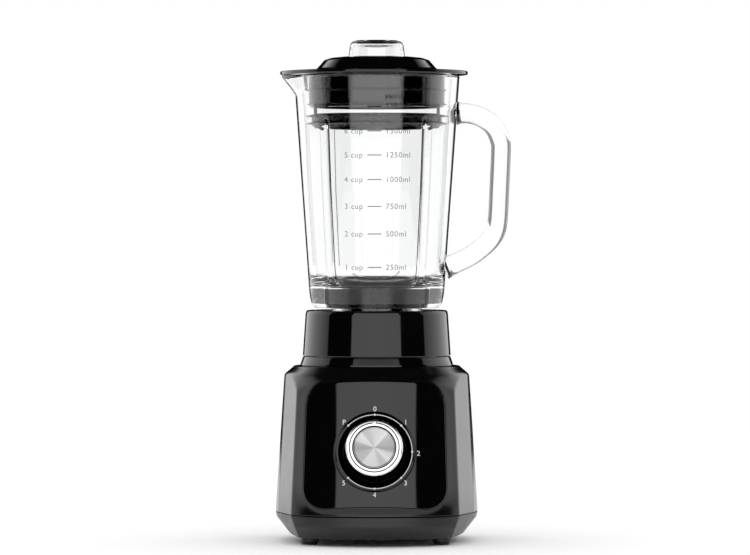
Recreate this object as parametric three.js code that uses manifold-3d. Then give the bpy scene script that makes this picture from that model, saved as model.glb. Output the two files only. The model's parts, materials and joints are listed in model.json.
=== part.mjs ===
// Countertop blender: a glass jug with lid and measuring cap on a motor base with a rotary speed knob.
// Millimetres, +Z up. The shapes are drawn about the drive axis (x = y = 0) above the worktop (z = 0),
// with the knob towards -Y, the spout towards -X and the jug's handle towards +X.
// The last lines move the whole blender so that its origin is the centre of its footprint.
import * as THREE from "three";
import { mergeVertices } from "three/addons/utils/BufferGeometryUtils.js";
import Module from "manifold-3d";

const wasm = await Module();
wasm.setup();

// ---------------------------------------------------------------- driving dimensions
const GAP = 0.3; // between pieces that touch
const RUN = 0.35; // radial play of a turning or sliding piece
const ROUND = 32; // facets of a large round piece
const MEDIUM = 24; // facets of a knob-sized piece
const SMALL = 14; // facets of a small round piece

const TRAY_BOTTOM = 6.2;
const SEAM_Z = 25; // between bottom tray and housing
const KNEE_Z = 16; // where the tray's front starts to slope in
const PANEL_TOP_Z = 138.5;
const SHOULDER_Z = 140.7; // outer edge of the sloping shoulder
const HOUSING_TOP = 147.7;
const HOUSING_WALL = 3.4;
const FRONT_BOW = 98; // radius of the bowed front, seen from above
const BACK_BOW = 170;
const BEVEL_ANGLE = 8; // degrees that the ends of each side turn in
const BEVEL_START = 11; // distance of those turns from the middle of the side
const FRONT_TILT = 13; // degrees that the front leans back
const SIDE_TAPER = 0.0615;

const DIAL_Z = 78.8;
const DIAL_R = 33.5;
const KNOB_R = 23.7;

// The seat, the jug and all that they carry are drawn for a housing top at this height, and set down on the
// real one by onDeck.
const DRAWN_DECK = 151.5;
const SEAT_TOP = 159.3;
const COLLAR_BOTTOM = 159.7;
const COLLAR_TOP = 198.3;
const JUG_FOOT_Z = 200.4;
const JUG_RIM_Z = 396.5;
const JUG_BOTTOM_R = 57;
const JUG_RIM_R = 70;
const GLASS = 4.5; // jug wall
const RIM_GLASS = 6; // jug wall where the lid seals
const SPOUT_Z = 382;
const SPOUT_REACH = 11;
const SPOUT_HALF = 28; // degrees

const SHAFT_R = 4;
const STACK_BOTTOM = 58;
const STACK_TOP = 90;

const rad = (degrees) => (degrees * Math.PI) / 180;

// ---------------------------------------------------------------- materials
const material = (color, roughness, metalness = 0) =>
  new THREE.MeshStandardMaterial({ color, roughness, metalness });
const MATERIALS = {
  glossBlack: material(0x0b0b0c, 0.12),
  satinBlack: material(0x161617, 0.4),
  nylon: material(0x2a2a2c, 0.55),
  clear: material(0xeef2f3, 0.05),
  rubber: material(0x1c1c1d, 0.8),
  silicone: material(0x5c5d60, 0.6),
  chrome: material(0xe6e6e8, 0.12, 1),
  aluminium: material(0xc9cacc, 0.3, 1),
  steel: material(0xb4b6b9, 0.3, 1),
  lamination: material(0x6d6f73, 0.5, 1),
  copper: material(0xb06a3a, 0.35, 1),
  brass: material(0xc2a04e, 0.3, 1),
  carbon: material(0x303032, 0.7),
  board: material(0x2d5b3a, 0.6),
};

// ---------------------------------------------------------------- geometry helpers
// A closed geometry as a manifold-3d solid.
function solid(geometry) {
  const loose = geometry.index ? geometry.toNonIndexed() : geometry.clone();
  loose.deleteAttribute("normal");
  loose.deleteAttribute("uv");
  const merged = mergeVertices(loose, 1e-4);
  return new wasm.Manifold(
    new wasm.Mesh({
      numProp: 3,
      vertProperties: merged.attributes.position.array,
      triVerts: new Uint32Array(merged.index.array),
    }),
  );
}

// A manifold-3d solid as a three.js geometry.
function geometryOf(made) {
  const mesh = made.getMesh();
  const positions = new Float32Array(mesh.numVert * 3);
  for (let i = 0; i < mesh.numVert; i++)
    positions.set(mesh.vertProperties.subarray(i * mesh.numProp, i * mesh.numProp + 3), i * 3);
  const geometry = new THREE.BufferGeometry();
  geometry.setAttribute("position", new THREE.BufferAttribute(positions, 3));
  geometry.setIndex(new THREE.BufferAttribute(mesh.triVerts, 1));
  geometry.computeVertexNormals();
  return geometry;
}

const join = (first, ...others) =>
  geometryOf(others.reduce((made, g) => made.add(solid(g)), solid(first)));
const cut = (first, ...others) =>
  geometryOf(others.reduce((made, g) => made.subtract(solid(g)), solid(first)));
const common = (first, second) => geometryOf(solid(first).intersect(solid(second)));

// Turns a profile of [radius, height] points about the Z axis. It runs anticlockwise, with the axis on its
// left, and either starts and ends on the axis or closes on itself.
function turned(profile, segments = ROUND) {
  const onAxis = profile[0][0] === 0 && profile.at(-1)[0] === 0;
  const outline = onAxis ? profile : [...profile, profile[0]];
  const points = outline.map(([r, z]) => new THREE.Vector2(r, z));
  return new THREE.LatheGeometry(points, segments).rotateX(Math.PI / 2);
}

// A round bar or, with a bore, a tube along Z.
const bar = (r, low, high, segments = SMALL) =>
  turned([[0, low], [r, low], [r, high], [0, high]], segments);
const tube = (bore, r, low, high, segments = SMALL) =>
  turned([[bore, low], [r, low], [r, high], [bore, high]], segments);

const block = (x, y, z, at = [0, 0, 0]) => new THREE.BoxGeometry(x, y, z).translate(...at);

// An outline of [x, y] points stretched from one height to another.
function prism(points, low, high, hole) {
  const shape = new THREE.Shape(points.map(([x, y]) => new THREE.Vector2(x, y)));
  if (hole) shape.holes.push(new THREE.Path(hole.map(([x, y]) => new THREE.Vector2(x, y))));
  const options = { depth: high - low, bevelEnabled: false, curveSegments: 6 };
  return new THREE.ExtrudeGeometry(shape, options).translate(0, 0, low);
}

// Closed rings of [x, y, z] points, all with the same count, skinned from the first to the last.
function loft(rings) {
  const count = rings[0].length;
  const centre = (ring) => [0, 1, 2].map((k) => ring.reduce((sum, p) => sum + p[k], 0) / count);
  const positions = [...rings.flat(2), ...centre(rings[0]), ...centre(rings.at(-1))];
  const bottomCentre = rings.length * count;
  const topRing = (rings.length - 1) * count;
  const index = [];
  for (let i = 0; i < count; i++) {
    const next = (i + 1) % count;
    for (let level = 0; level < topRing; level += count) {
      index.push(level + i, level + next, level + count + next);
      index.push(level + i, level + count + next, level + count + i);
    }
    index.push(bottomCentre, next, i);
    index.push(bottomCentre + 1, topRing + i, topRing + next);
  }
  const geometry = new THREE.BufferGeometry();
  geometry.setAttribute("position", new THREE.Float32BufferAttribute(positions, 3));
  geometry.setIndex(index);
  return geometry;
}

const mix = (a, b, t) => a + (b - a) * t;
// The value at z of a line through [z, value] points in rising z.
function along(points, z) {
  const i = Math.max(1, points.findIndex(([at]) => at >= z));
  const [[z0, v0], [z1, v1]] = z > points.at(-1)[0] ? points.slice(-2) : [points[i - 1], points[i]];
  return mix(v0, v1, (z - z0) / (z1 - z0));
}

// ---------------------------------------------------------------- motor base outline
const frontSlope = Math.tan(rad(FRONT_TILT));
const FRONT_AT_SEAM = 76 + frontSlope * (PANEL_TOP_Z - SEAM_Z);
const frontReach = [
  [TRAY_BOTTOM, FRONT_AT_SEAM - 10.4],
  [KNEE_Z, FRONT_AT_SEAM],
  [SEAM_Z, FRONT_AT_SEAM],
  [PANEL_TOP_Z, 76],
  [HOUSING_TOP, 67],
];
const backReach = [
  [TRAY_BOTTOM, 74.5],
  [KNEE_Z, 84],
  [SEAM_Z, 84],
  [HOUSING_TOP, 84 - SIDE_TAPER * (HOUSING_TOP - SEAM_Z)],
];
const sideReach = [
  [TRAY_BOTTOM, 72.8],
  [21.3, 84.7],
  [SEAM_Z + 1.5, 85.3],
  [SHOULDER_Z, 85.3 - SIDE_TAPER * (SHOULDER_Z - SEAM_Z)],
  [HOUSING_TOP, 85.3 - SIDE_TAPER * (HOUSING_TOP - SEAM_Z)],
];
const creaseX = [
  [TRAY_BOTTOM, 63.5],
  [SEAM_Z, 70],
  [HOUSING_TOP, 65],
];
// Degrees between a corner facet and the side.
const facetAngle = [
  [TRAY_BOTTOM, 11],
  [SEAM_Z, 17],
  [HOUSING_TOP, 17],
];
// The round dome that trims the corners under the shoulder.
const domeR = [
  [TRAY_BOTTOM, 130],
  [90, 96],
  [105, 91.5],
  [119, 87.8],
  [128, 84.6],
  [135, 81.2],
  [SHOULDER_Z, 77.8],
  [HOUSING_TOP, 69.6],
];

// Where the outline at height z creases: x of the front and rear creases, and their depths.
function creases(z) {
  const x = along(creaseX, z);
  const front = FRONT_BOW - along(frontReach, z) - Math.sqrt(FRONT_BOW ** 2 - x ** 2);
  const back = along(backReach, z) - BACK_BOW + Math.sqrt(BACK_BOW ** 2 - x ** 2);
  return { x, front, back };
}

// Distance from the drive axis to the outline at height z in the direction (c, s), drawn in by an inset.
function reach(z, c, s, inset) {
  const toCircle = (cy, r) => cy * s + Math.sqrt(r * r - cy * cy * c * c);
  // To a plane that turns in by an angle from the side, and passes through (x, y) and its mirror image.
  const toPlane = (degrees, x, y) => {
    const nx = Math.cos(rad(degrees));
    const ny = Math.sign(y) * Math.sin(rad(degrees));
    const across = Math.abs(c) * nx + s * ny;
    return across > 1e-6 ? (x * nx + y * ny - inset) / across : Infinity;
  };
  const side = along(sideReach, z);
  const facet = along(facetAngle, z);
  const crease = creases(z);
  return Math.min(
    toCircle(FRONT_BOW - along(frontReach, z), FRONT_BOW - inset),
    toCircle(along(backReach, z) - BACK_BOW, BACK_BOW - inset),
    toPlane(0, side, 0),
    toPlane(BEVEL_ANGLE, side, -BEVEL_START),
    toPlane(BEVEL_ANGLE, side, BEVEL_START),
    toPlane(facet, crease.x, crease.front),
    toPlane(facet, crease.x, crease.back),
    along(domeR, z) - inset,
  );
}

// How far back a facet that starts at a depth meets the bevelled end of the side.
function bevelMeets(z, x, depth) {
  const facetSlope = Math.tan(rad(along(facetAngle, z)));
  const bevelSlope = Math.tan(rad(BEVEL_ANGLE));
  const gained = x + depth * facetSlope - along(sideReach, z) - BEVEL_START * bevelSlope;
  return Math.max(gained / (facetSlope - bevelSlope), BEVEL_START + 2);
}

// The angles at which the outline at height z has its corners, from the front round the right side to the
// back, with the number of facets up to the next corner.
function cornerAngles(z) {
  const { x, front, back } = creases(z);
  const side = along(sideReach, z);
  return [
    [-Math.PI / 2, 5],
    [Math.atan2(front, x), 2],
    [Math.atan2(-bevelMeets(z, x, -front), side), 1],
    [Math.atan2(-BEVEL_START, side), 2],
    [Math.atan2(BEVEL_START, side), 1],
    [Math.atan2(bevelMeets(z, x, back), side), 2],
    [Math.atan2(back, x), 4],
    [Math.PI / 2, 0],
  ];
}

function outlineAngles(z) {
  const corners = cornerAngles(z);
  const right = corners.slice(0, -1).flatMap(([angle, count], k) =>
    Array.from({ length: count }, (_, i) => mix(angle, corners[k + 1][0], i / count)),
  );
  const left = right.slice(1).reverse().map((angle) => Math.PI - angle);
  return [...right, Math.PI / 2, ...left];
}

function bodySolid(levels, inset = 0) {
  const ring = (z) =>
    outlineAngles(z).map((angle) => {
      const c = Math.cos(angle);
      const s = Math.sin(angle);
      const r = reach(z, c, s, inset);
      return [r * c, r * s, z];
    });
  return loft(levels.map(ring));
}

// Places a piece drawn round the dial: its x to the right, its y up the panel and its z out of the panel.
const dialY = -along(frontReach, DIAL_Z);
const onDial = (geometry) =>
  geometry.rotateX(rad(90 - FRONT_TILT)).translate(0, dialY, DIAL_Z);

// Sets down a piece that is drawn for a housing top at DRAWN_DECK.
const onDeck = (geometry) => geometry.translate(0, 0, HOUSING_TOP - DRAWN_DECK);

// ---------------------------------------------------------------- the scene graph
const blender = new THREE.Group();
function add(name, geometry, kind) {
  const mesh = new THREE.Mesh(geometry, MATERIALS[kind]);
  mesh.name = name;
  blender.add(mesh);
}
const corners = [
  ["front_left", -1, -1],
  ["front_right", 1, -1],
  ["rear_left", -1, 1],
  ["rear_right", 1, 1],
];

// ---------------------------------------------------------------- motor base
const FOOT = { x: 55, front: 55, back: 52 };
const SCREW = { x: 57, y: 42 };
const PIN = { y: 49.3, r: 1.8 };
const GLAND = { z: 44, r: 7 };
const footY = (back) => (back > 0 ? FOOT.back : -FOOT.front);

// The rounded outline of the front panel, grown by an amount, stretched through the front of the housing.
function panelPrism(grow) {
  const low = 33.2 - grow;
  const high = PANEL_TOP_Z - 1.7 + grow;
  const bottomX = 59.9 + grow;
  const topX = 57.6 + grow;
  const corner = 19;
  const shape = new THREE.Shape();
  shape.moveTo(-bottomX + corner, low);
  shape.lineTo(bottomX - corner, low);
  shape.quadraticCurveTo(bottomX, low, bottomX, low + corner);
  shape.lineTo(topX, high - corner);
  shape.quadraticCurveTo(topX, high, topX - corner, high);
  shape.lineTo(-topX + corner, high);
  shape.quadraticCurveTo(-topX, high, -topX, high - corner);
  shape.lineTo(-bottomX, low + corner);
  shape.quadraticCurveTo(-bottomX, low, -bottomX + corner, low);
  const options = { depth: 90, bevelEnabled: false, curveSegments: 6 };
  return new THREE.ExtrudeGeometry(shape, options).rotateX(Math.PI / 2).translate(0, -30, 0);
}

const HOUSING_LEVELS = [SEAM_Z + GAP, 26.5, 105, 119, 128, PANEL_TOP_Z, SHOULDER_Z, HOUSING_TOP];
const SEAT_HOLE_R = 54.4;

function makeHousing() {
  const inside = [SEAM_Z - 1, 105, 122, 134, HOUSING_TOP - HOUSING_WALL];
  const shell = cut(bodySolid(HOUSING_LEVELS), bodySolid(inside, HOUSING_WALL));
  const levels = [SEAM_Z, 105, 128, PANEL_TOP_Z, HOUSING_TOP];
  const recess = common(panelPrism(GAP), bodySolid(levels, -5));
  const recessFloor = bodySolid(levels, 1.8);
  const posts = corners.map(([, x, y]) => {
    const post = bar(4.6, SEAM_Z + 0.6, 142, 12).translate(x * SCREW.x, y * SCREW.y, 0);
    return common(post, bodySolid(HOUSING_LEVELS, 0.8));
  });
  const pilots = corners.map(([, x, y]) => bar(2, 20, 44, 10).translate(x * SCREW.x, y * SCREW.y, 0));
  return cut(
    join(shell, ...posts),
    cut(recess, recessFloor),
    ...pilots,
    bar(SEAT_HOLE_R, 136, 160, ROUND),
    onDial(bar(DIAL_R + GAP, -16, 12, ROUND)),
    bar(GLAND.r + GAP, 0, 30).rotateX(-Math.PI / 2).translate(0, 65, GLAND.z),
  );
}
add("motor_housing", makeHousing(), "satinBlack");

function makePanel() {
  const levels = [SEAM_Z, 105, 128, PANEL_TOP_Z];
  const skin = cut(bodySolid(levels, -0.3), bodySolid(levels, 1.5));
  return cut(common(skin, panelPrism(0)), onDial(bar(DIAL_R + GAP, -16, 12, ROUND)));
}
add("front_panel", makePanel(), "glossBlack");

function makeTray() {
  const outer = bodySolid([TRAY_BOTTOM, KNEE_Z, 21.3, SEAM_Z]);
  const inner = bodySolid([TRAY_BOTTOM + 2.6, KNEE_Z, 21.3, SEAM_Z + 1], 2.8);
  const posts = corners.map(([, x, y]) =>
    bar(5.2, TRAY_BOTTOM + 1, SEAM_Z, 12).translate(x * SCREW.x, y * SCREW.y, 0),
  );
  const ribs = [-22, 22].map((x) => block(3, 30, 7, [x, 46, 10.5]));
  const holes = corners.flatMap(([, x, y]) => [
    bar(2, 0, 30, 10).translate(x * SCREW.x, y * SCREW.y, 0),
    bar(4, 0, 12, 12).translate(x * SCREW.x, y * SCREW.y, 0),
    bar(3.3, 0, 30, 12).translate(x * FOOT.x, footY(y), 0),
  ]);
  const vents = [-24, -12, 0, 12, 24].map((x) => block(5, 46, 12, [x, -8, 5]));
  return cut(join(cut(outer, inner), ...posts, ...ribs), ...holes, ...vents);
}
add("bottom_tray", makeTray(), "satinBlack");

for (const [name, x, y] of corners) {
  const foot = turned(
    [[0, 0], [6, 0], [6.6, 0.6], [6.6, 2.2], [7.9, 2.2], [7.9, TRAY_BOTTOM - GAP],
      [3, TRAY_BOTTOM - GAP], [3, 11.6], [0, 11.6]],
    12,
  );
  add("foot_" + name, foot.translate(x * FOOT.x, footY(y), 0), "rubber");
  const screw = turned([[0, 8.6], [3.4, 8.6], [3.4, 11.7], [1.6, 11.7], [1.6, 40], [0, 40.8]], 12);
  screw.translate(x * SCREW.x, y * SCREW.y, 0);
  add("tray_screw_" + name, cut(screw, block(1, 5, 1.6, [x * SCREW.x, y * SCREW.y, 8.6])), "steel");
}

// The round seat on the housing, with a floor and a splash lip round the motor shaft.
const seat = turned([
  [8.5, 146.5], [54, 146.5], [54, DRAWN_DECK + GAP], [65, DRAWN_DECK + GAP], [64.8, 153.4],
  [63.3, SEAT_TOP - 0.8], [62.6, SEAT_TOP], [51.6, SEAT_TOP], [51.6, 149], [11, 149], [11, 152.6],
  [8.5, 152.6],
]);
const pinHole = bar(PIN.r + RUN, 140, 155, 16).translate(0, PIN.y, 0);
add("jug_seat", onDeck(cut(seat, pinHole)), "glossBlack");

const gland = turned(
  [[3.4, -4], [GLAND.r, -4], [GLAND.r, 4.6], [10, 4.6], [9.4, 7.6], [6, 9.6], [5.4, 14], [3.4, 14]],
  SMALL,
);
const glandY = along(backReach, GLAND.z) - 3.4;
add("cord_gland", gland.rotateX(-Math.PI / 2).translate(0, glandY, GLAND.z), "rubber");

// ---------------------------------------------------------------- speed control
add(
  "dial_bezel",
  onDial(
    turned([
      [5, -11], [30, -11], [DIAL_R, -9], [DIAL_R, 0.6], [33, 1.2], [31, 1.4], [29.4, 0.4],
      [28, -5.4], [26.5, -8.4], [5, -8.4],
    ], ROUND),
  ),
  "glossBlack",
);
add("rotary_switch", onDial(cut(block(34, 30, 14, [0, 0, -18.4]), bar(3.4, -30, 0))), "nylon");
add("switch_shaft", onDial(bar(3, -22, 12.5)), "nylon");
add(
  "knob_body",
  onDial(
    turned([
      [3.3, -7], [3.3, 12.8], [0, 12.8], [0, 18.4], [18.9, 18.4], [18.9, 17.4], [22.9, 17.4],
      [23.5, 4], [25.4, -2], [25.4, -4], [22, -4], [20, 14], [6.6, 14], [6.6, -7],
    ].reverse(), MEDIUM),
  ),
  "glossBlack",
);
const ring = turned([
  [19.2, 17.7], [23.1, 17.7], [KNOB_R, 18.6], [23.4, 20.2], [22.3, 21.2], [20.3, 21.4], [19.2, 20.6],
], MEDIUM);
add("knob_ring", onDial(cut(ring, block(1.6, 3.4, 3, [0, 22, 22]))), "chrome");
const disc = [[0, 18.7], [18.8, 18.7], [18.8, 20.6], [17.1, 20.6], [16.5, 19.9], [15.9, 20.6], [0, 20.6]];
add("knob_disc", onDial(turned(disc, MEDIUM)), "aluminium");

// ---------------------------------------------------------------- motor, fixed pieces
const COIL = { x: 25.5, thick: 8.4, halfY: 20.5, windowY: 13 };
const BOLT_X = 33.6;
function makeStator() {
  const stack = prism(
    [[-37, -27], [-27, -37], [27, -37], [37, -27], [37, 27], [27, 37], [-27, 37], [-37, 27]],
    STACK_BOTTOM,
    STACK_TOP,
  );
  const slots = [[-1, -1], [1, -1], [-1, 1], [1, 1]].map(([x, y]) =>
    block(COIL.thick + 0.8, 8.3, 60, [x * COIL.x, (y * (COIL.halfY + COIL.windowY)) / 2, 74]),
  );
  const boltHoles = [-1, 1].map((x) => bar(2.4, 40, 110, 12).translate(x * BOLT_X, 0, 0));
  return cut(stack, bar(21, 40, 110, MEDIUM), ...slots, ...boltHoles);
}
add("stator_core", makeStator(), "lamination");

for (const [side, x] of [["left", -1], ["right", 1]]) {
  const loop = (halfY, low, high) => [[-halfY, low], [halfY, low], [halfY, high], [-halfY, high]];
  const shape = [
    [-17, 49], [17, 49], [20.5, 52.5], [20.5, 95.5], [17, 99], [-17, 99], [-20.5, 95.5], [-20.5, 52.5],
  ];
  const window = loop(COIL.windowY, STACK_BOTTOM - 0.5, STACK_TOP + 0.5);
  const coil = prism(shape, -COIL.thick / 2, COIL.thick / 2, window);
  coil.rotateX(Math.PI / 2).rotateZ(Math.PI / 2).translate(x * COIL.x, 0, 0);
  add("field_coil_" + side, coil, "copper");
}

// A bar across the motor with a round boss, bored for a bearing that is open on one side.
function bracket(low, high, halfX, bearingLow, bearingHigh) {
  const arm = block(2 * halfX, 24, high - low, [0, 0, (low + high) / 2]);
  const boss = bar(15.5, Math.min(low, bearingLow - 1.5), Math.max(high, bearingHigh + 1.5));
  const holes = [-1, 1].map((x) => bar(2.4, low - 9, high + 9, 12).translate(x * BOLT_X, 0, 0));
  return cut(join(arm, boss), bar(11.3, bearingLow - GAP, bearingHigh + GAP), bar(7, 0, 200), ...holes);
}
const UPPER_BEARING = [128, 136];
const LOWER_BEARING = [26, 34];
add("upper_motor_bracket", bracket(124, 131, 50, ...UPPER_BEARING), "aluminium");
add("lower_motor_bracket", bracket(25, 31, 40, ...LOWER_BEARING), "aluminium");
add("upper_bearing", tube(SHAFT_R + RUN, 11, ...UPPER_BEARING), "steel");
add("lower_bearing", tube(SHAFT_R + RUN, 11, ...LOWER_BEARING), "steel");

for (const [side, x] of [["left", -1], ["right", 1]]) {
  const bolt = turned([[0, 21.5], [3.6, 21.5], [3.6, 24.7], [2, 24.7], [2, 136], [0, 136]], 12);
  add("motor_bolt_" + side, bolt.translate(x * BOLT_X, 0, 0), "steel");
  add("motor_mount_" + side, bar(6, 131.3, 142.4, 16).translate(x * 44, 0, 0), "rubber");
}

const BRUSH_Z = 108;
for (const [side, y] of [["front", -1], ["rear", 1]]) {
  add("carbon_brush_" + side, block(6, 13, 8, [0, y * 18.2, BRUSH_Z]), "carbon");
  const holder = block(12, 16, 22, [0, y * 23, 112.7]);
  add("brush_holder_" + side, cut(holder, block(6.8, 40, 8.8, [0, y * 20, BRUSH_Z])), "brass");
}

add("circuit_board", block(60, 32, 1.6, [0, 46, 14.3 + GAP + 0.2]), "board");
const switchHole = bar(2.6, 134.2, 145, 16).translate(0, PIN.y, 0);
add("interlock_switch", onDeck(cut(block(20, 9, 12, [0, PIN.y, 132.2]), switchHole)), "nylon");
add("interlock_pin", onDeck(bar(PIN.r, 137.6, 151.2, 16).translate(0, PIN.y, 0)), "nylon");

// ---------------------------------------------------------------- motor, turning pieces
add("motor_shaft", bar(SHAFT_R, 23, 162.2), "steel");
const shaftBore = SHAFT_R + GAP;
add("armature_core", tube(shaftBore, 20.2, STACK_BOTTOM, STACK_TOP, MEDIUM), "lamination");
const lowerWinding = [[shaftBore, 49], [13, 49], [17, 52], [17, 57.7], [shaftBore, 57.7]];
const upperWinding = [[shaftBore, 90.3], [17, 90.3], [17, 96], [13, 99], [shaftBore, 99]];
add("armature_winding_lower", turned(lowerWinding, SMALL), "copper");
add("armature_winding_upper", turned(upperWinding, SMALL), "copper");
add("commutator", tube(shaftBore, 11, 101, 116), "copper");

function makeFan() {
  const hub = tube(shaftBore, 8, 37, 47);
  const disc = tube(shaftBore, 31, 37, 38.6, MEDIUM);
  const blades = Array.from({ length: 9 }, (_, i) =>
    block(21, 1.4, 9, [19.5, 3, 42]).rotateZ((i / 9) * 2 * Math.PI),
  );
  return join(hub, disc, ...blades);
}
add("cooling_fan", makeFan(), "nylon");

// Outline of a six-lobed coupling.
const LOBES = 6;
const lobed = (outer, inner) =>
  Array.from({ length: LOBES * 4 }, (_, i) => {
    const angle = ((i + 0.5) / (LOBES * 4)) * 2 * Math.PI;
    const r = i % 4 < 2 ? outer : inner;
    return [r * Math.cos(angle), r * Math.sin(angle)];
  });
add("drive_coupler", onDeck(cut(prism(lobed(9.4, 7), 154, 170.4), bar(shaftBore, 150, 167))), "nylon");

// ---------------------------------------------------------------- jug collar and blade unit
add(
  "jug_collar",
  onDeck(turned([
    [63, COLLAR_BOTTOM], [63, 161], [60, 195.4], [59.3, 197.4], [57.6, COLLAR_TOP], [39.2, COLLAR_TOP],
    [39.2, 180], [14.8, 180], [14.8, 176.6], [42.2, 176.6], [42.2, 194.4], [56.6, 194.4], [59.4, 163],
    [47.6, 163], [47.6, 151.5], [51.1, 151.5], [51.1, COLLAR_BOTTOM],
  ])),
  "glossBlack",
);
add(
  "blade_carrier",
  onDeck(turned([
    [7.4, 180.3], [37, 180.3], [37, 183.5], [29.8, 183.5], [29.8, 217.4], [29, 218.7], [27, 218.7],
    [25.4, 209], [22, 206.4], [10.5, 206.4], [10, 209.6], [7.4, 209.6],
  ], MEDIUM)),
  "satinBlack",
);
add("blade_gasket", onDeck(tube(30.3, 37.4, 183.8, 185.8, MEDIUM)), "silicone");
add("blade_bush", onDeck(tube(SHAFT_R + RUN, 7.1, 184, 210)), "brass");

add("blade_shaft", onDeck(bar(SHAFT_R, 173, 218)), "steel");
const socket = prism(lobed(10.3, 7.9), 150, 172.3);
add("driven_coupler", onDeck(cut(bar(13.4, 161.4, 179.4), socket, bar(shaftBore, 160, 190))), "nylon");

// A pair of blade wings: a flat hub with a bore, and an arm on each side that bends up to its tip.
function wings(low, thick, width, elbow, tips) {
  const hub = bar(7.5, low, low + thick, 16);
  const arms = tips.map(([x, rise]) => {
    const side = Math.sign(x);
    const profile = [
      [0, low], [side * elbow, low], [x, low + rise], [x - side * thick * 0.9, low + rise + thick * 0.4],
      [side * (elbow - thick * 0.5), low + thick], [0, low + thick],
    ];
    const arm = prism(side > 0 ? profile : profile.slice().reverse(), -width / 2, width / 2);
    return arm.rotateX(Math.PI / 2);
  });
  return cut(join(hub, ...arms), bar(shaftBore, low - 5, low + 9, 16));
}
const lowerWings = wings(210.6, 1.4, 10, 9, [[-22.5, 4.6], [22.5, 4.6]]).rotateZ(rad(80));
add("blade_wings_lower", onDeck(lowerWings), "steel");
add("blade_wings_upper", onDeck(wings(212.4, 1.4, 11, 8, [[-20.7, 13.6], [19.8, 16]])), "steel");
add("blade_nut", onDeck(cut(bar(6.4, 214.2, 217.6, 6), bar(shaftBore, 200, 230))), "steel");

// ---------------------------------------------------------------- glass jug
// Pulls a turned rim, outside a radius, out towards -X into a pointed spout, more the higher it is.
function pullSpout(geometry, reachOut, lowest, highest, halfAngle, outside) {
  const position = geometry.attributes.position;
  for (let i = 0; i < position.count; i++) {
    const [x, y, z] = [position.getX(i), position.getY(i), position.getZ(i)];
    const off = Math.abs(Math.atan2(y, -x));
    const width = Math.max(0, 1 - off / rad(halfAngle));
    const rise = THREE.MathUtils.clamp((z - lowest) / (highest - lowest), 0, 1);
    const r = Math.hypot(x, y);
    const stretch = r > outside ? 1 + (reachOut * width * rise) / r : 1;
    position.setXY(i, x * stretch, y * stretch);
  }
  return geometry;
}

const wallR = (z) => mix(JUG_BOTTOM_R, JUG_RIM_R, (z - 213.6) / (JUG_RIM_Z - 213.6));

// The handle's centre line in the XZ plane, and its oval section.
const HANDLE = [
  [62, 364.5], [78, 364.8], [91, 360.5], [100, 352.5], [104.6, 341], [105.2, 336], [103.4, 296],
  [102.4, 272], [99.6, 262], [93.4, 254.4], [80, 244], [66, 237.5], [56, 233.5],
];
function handleBar() {
  const points = HANDLE.map(([x, z]) => new THREE.Vector3(x, 0, z));
  const curve = new THREE.CatmullRomCurve3(points, false, "centripetal");
  const section = new THREE.Shape().absellipse(0, 0, 10, 8.3, 0, 2 * Math.PI);
  const options = { extrudePath: curve, steps: 20, curveSegments: 6, bevelEnabled: false };
  return new THREE.ExtrudeGeometry(section, options);
}

// The four ribs inside the jug that break up the whirl.
const RIB = { low: 214, high: 350, r: 4.4, turns: [45, 135, 225, 315] };
function jugRib(turn) {
  const z = [RIB.low, RIB.high];
  const length = z[1] - z[0];
  const lean = Math.atan2(wallR(z[1]) - wallR(z[0]), length);
  const rib = new THREE.CapsuleGeometry(RIB.r, length, 2, 8).rotateX(Math.PI / 2).rotateY(lean);
  return rib.translate(wallR((z[0] + z[1]) / 2) - GLASS, 0, (z[0] + z[1]) / 2).rotateZ(rad(turn));
}

function makeJug() {
  const outside = [
    [38, 186.1], [38, 202.2], [48.4, 202.2], [49.6, JUG_FOOT_Z], [52, JUG_FOOT_Z], [54.6, 202.6],
    [56.1, 207.5], [JUG_BOTTOM_R, 213.6], [wallR(300), 300], [wallR(SPOUT_Z), SPOUT_Z],
    [JUG_RIM_R - 0.4, JUG_RIM_Z - 1], [JUG_RIM_R - 1.4, JUG_RIM_Z],
  ];
  const inside = [
    [JUG_RIM_R - 4.8, JUG_RIM_Z], [JUG_RIM_R - RIM_GLASS, JUG_RIM_Z - 1.5],
    [wallR(SPOUT_Z) - RIM_GLASS, SPOUT_Z], [wallR(352) - RIM_GLASS, 352], [wallR(342) - GLASS, 342],
    [wallR(300) - GLASS, 300], [wallR(240) - GLASS, 240], [51.6, 230], [48.4, 223.5], [43.4, 217.4],
    [36.5, 213], [31.4, 211.2], [30.4, 210], [30.4, 186.1],
  ];
  const bowl = pullSpout(turned([...outside, ...inside]), SPOUT_REACH, SPOUT_Z, JUG_RIM_Z, SPOUT_HALF, 0);
  const hollow = [[0, 220], [wallR(220) - 3, 220], [wallR(390) - 3, 390], [0, 390]];
  const handle = cut(handleBar(), turned(hollow));
  return join(bowl, handle, ...RIB.turns.map(jugRib));
}
add("glass_jug", onDeck(makeJug()), "clear");

// ---------------------------------------------------------------- lid and measuring cap
const LID_TOP = 411.8;
const lidCover = turned([
  [24.8, 386], [27.4, 386], [27.4, 409.2], [33.6, 409.2], [39, 408.4], [42.6, 406], [49.8, 399],
  [60.5, 398], [60.5, 396.9], [74.8, 396.9], [76.2, 397.5], [76.4, 398.8], [75.2, 399.7], [51.2, 401.6],
  [44.3, 408.7], [40.4, 411], [34, LID_TOP], [24.8, LID_TOP],
]);
add("lid_cover", onDeck(pullSpout(lidCover, 4.8, 395.5, 396.9, SPOUT_HALF + 4, 62)), "glossBlack");

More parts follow.
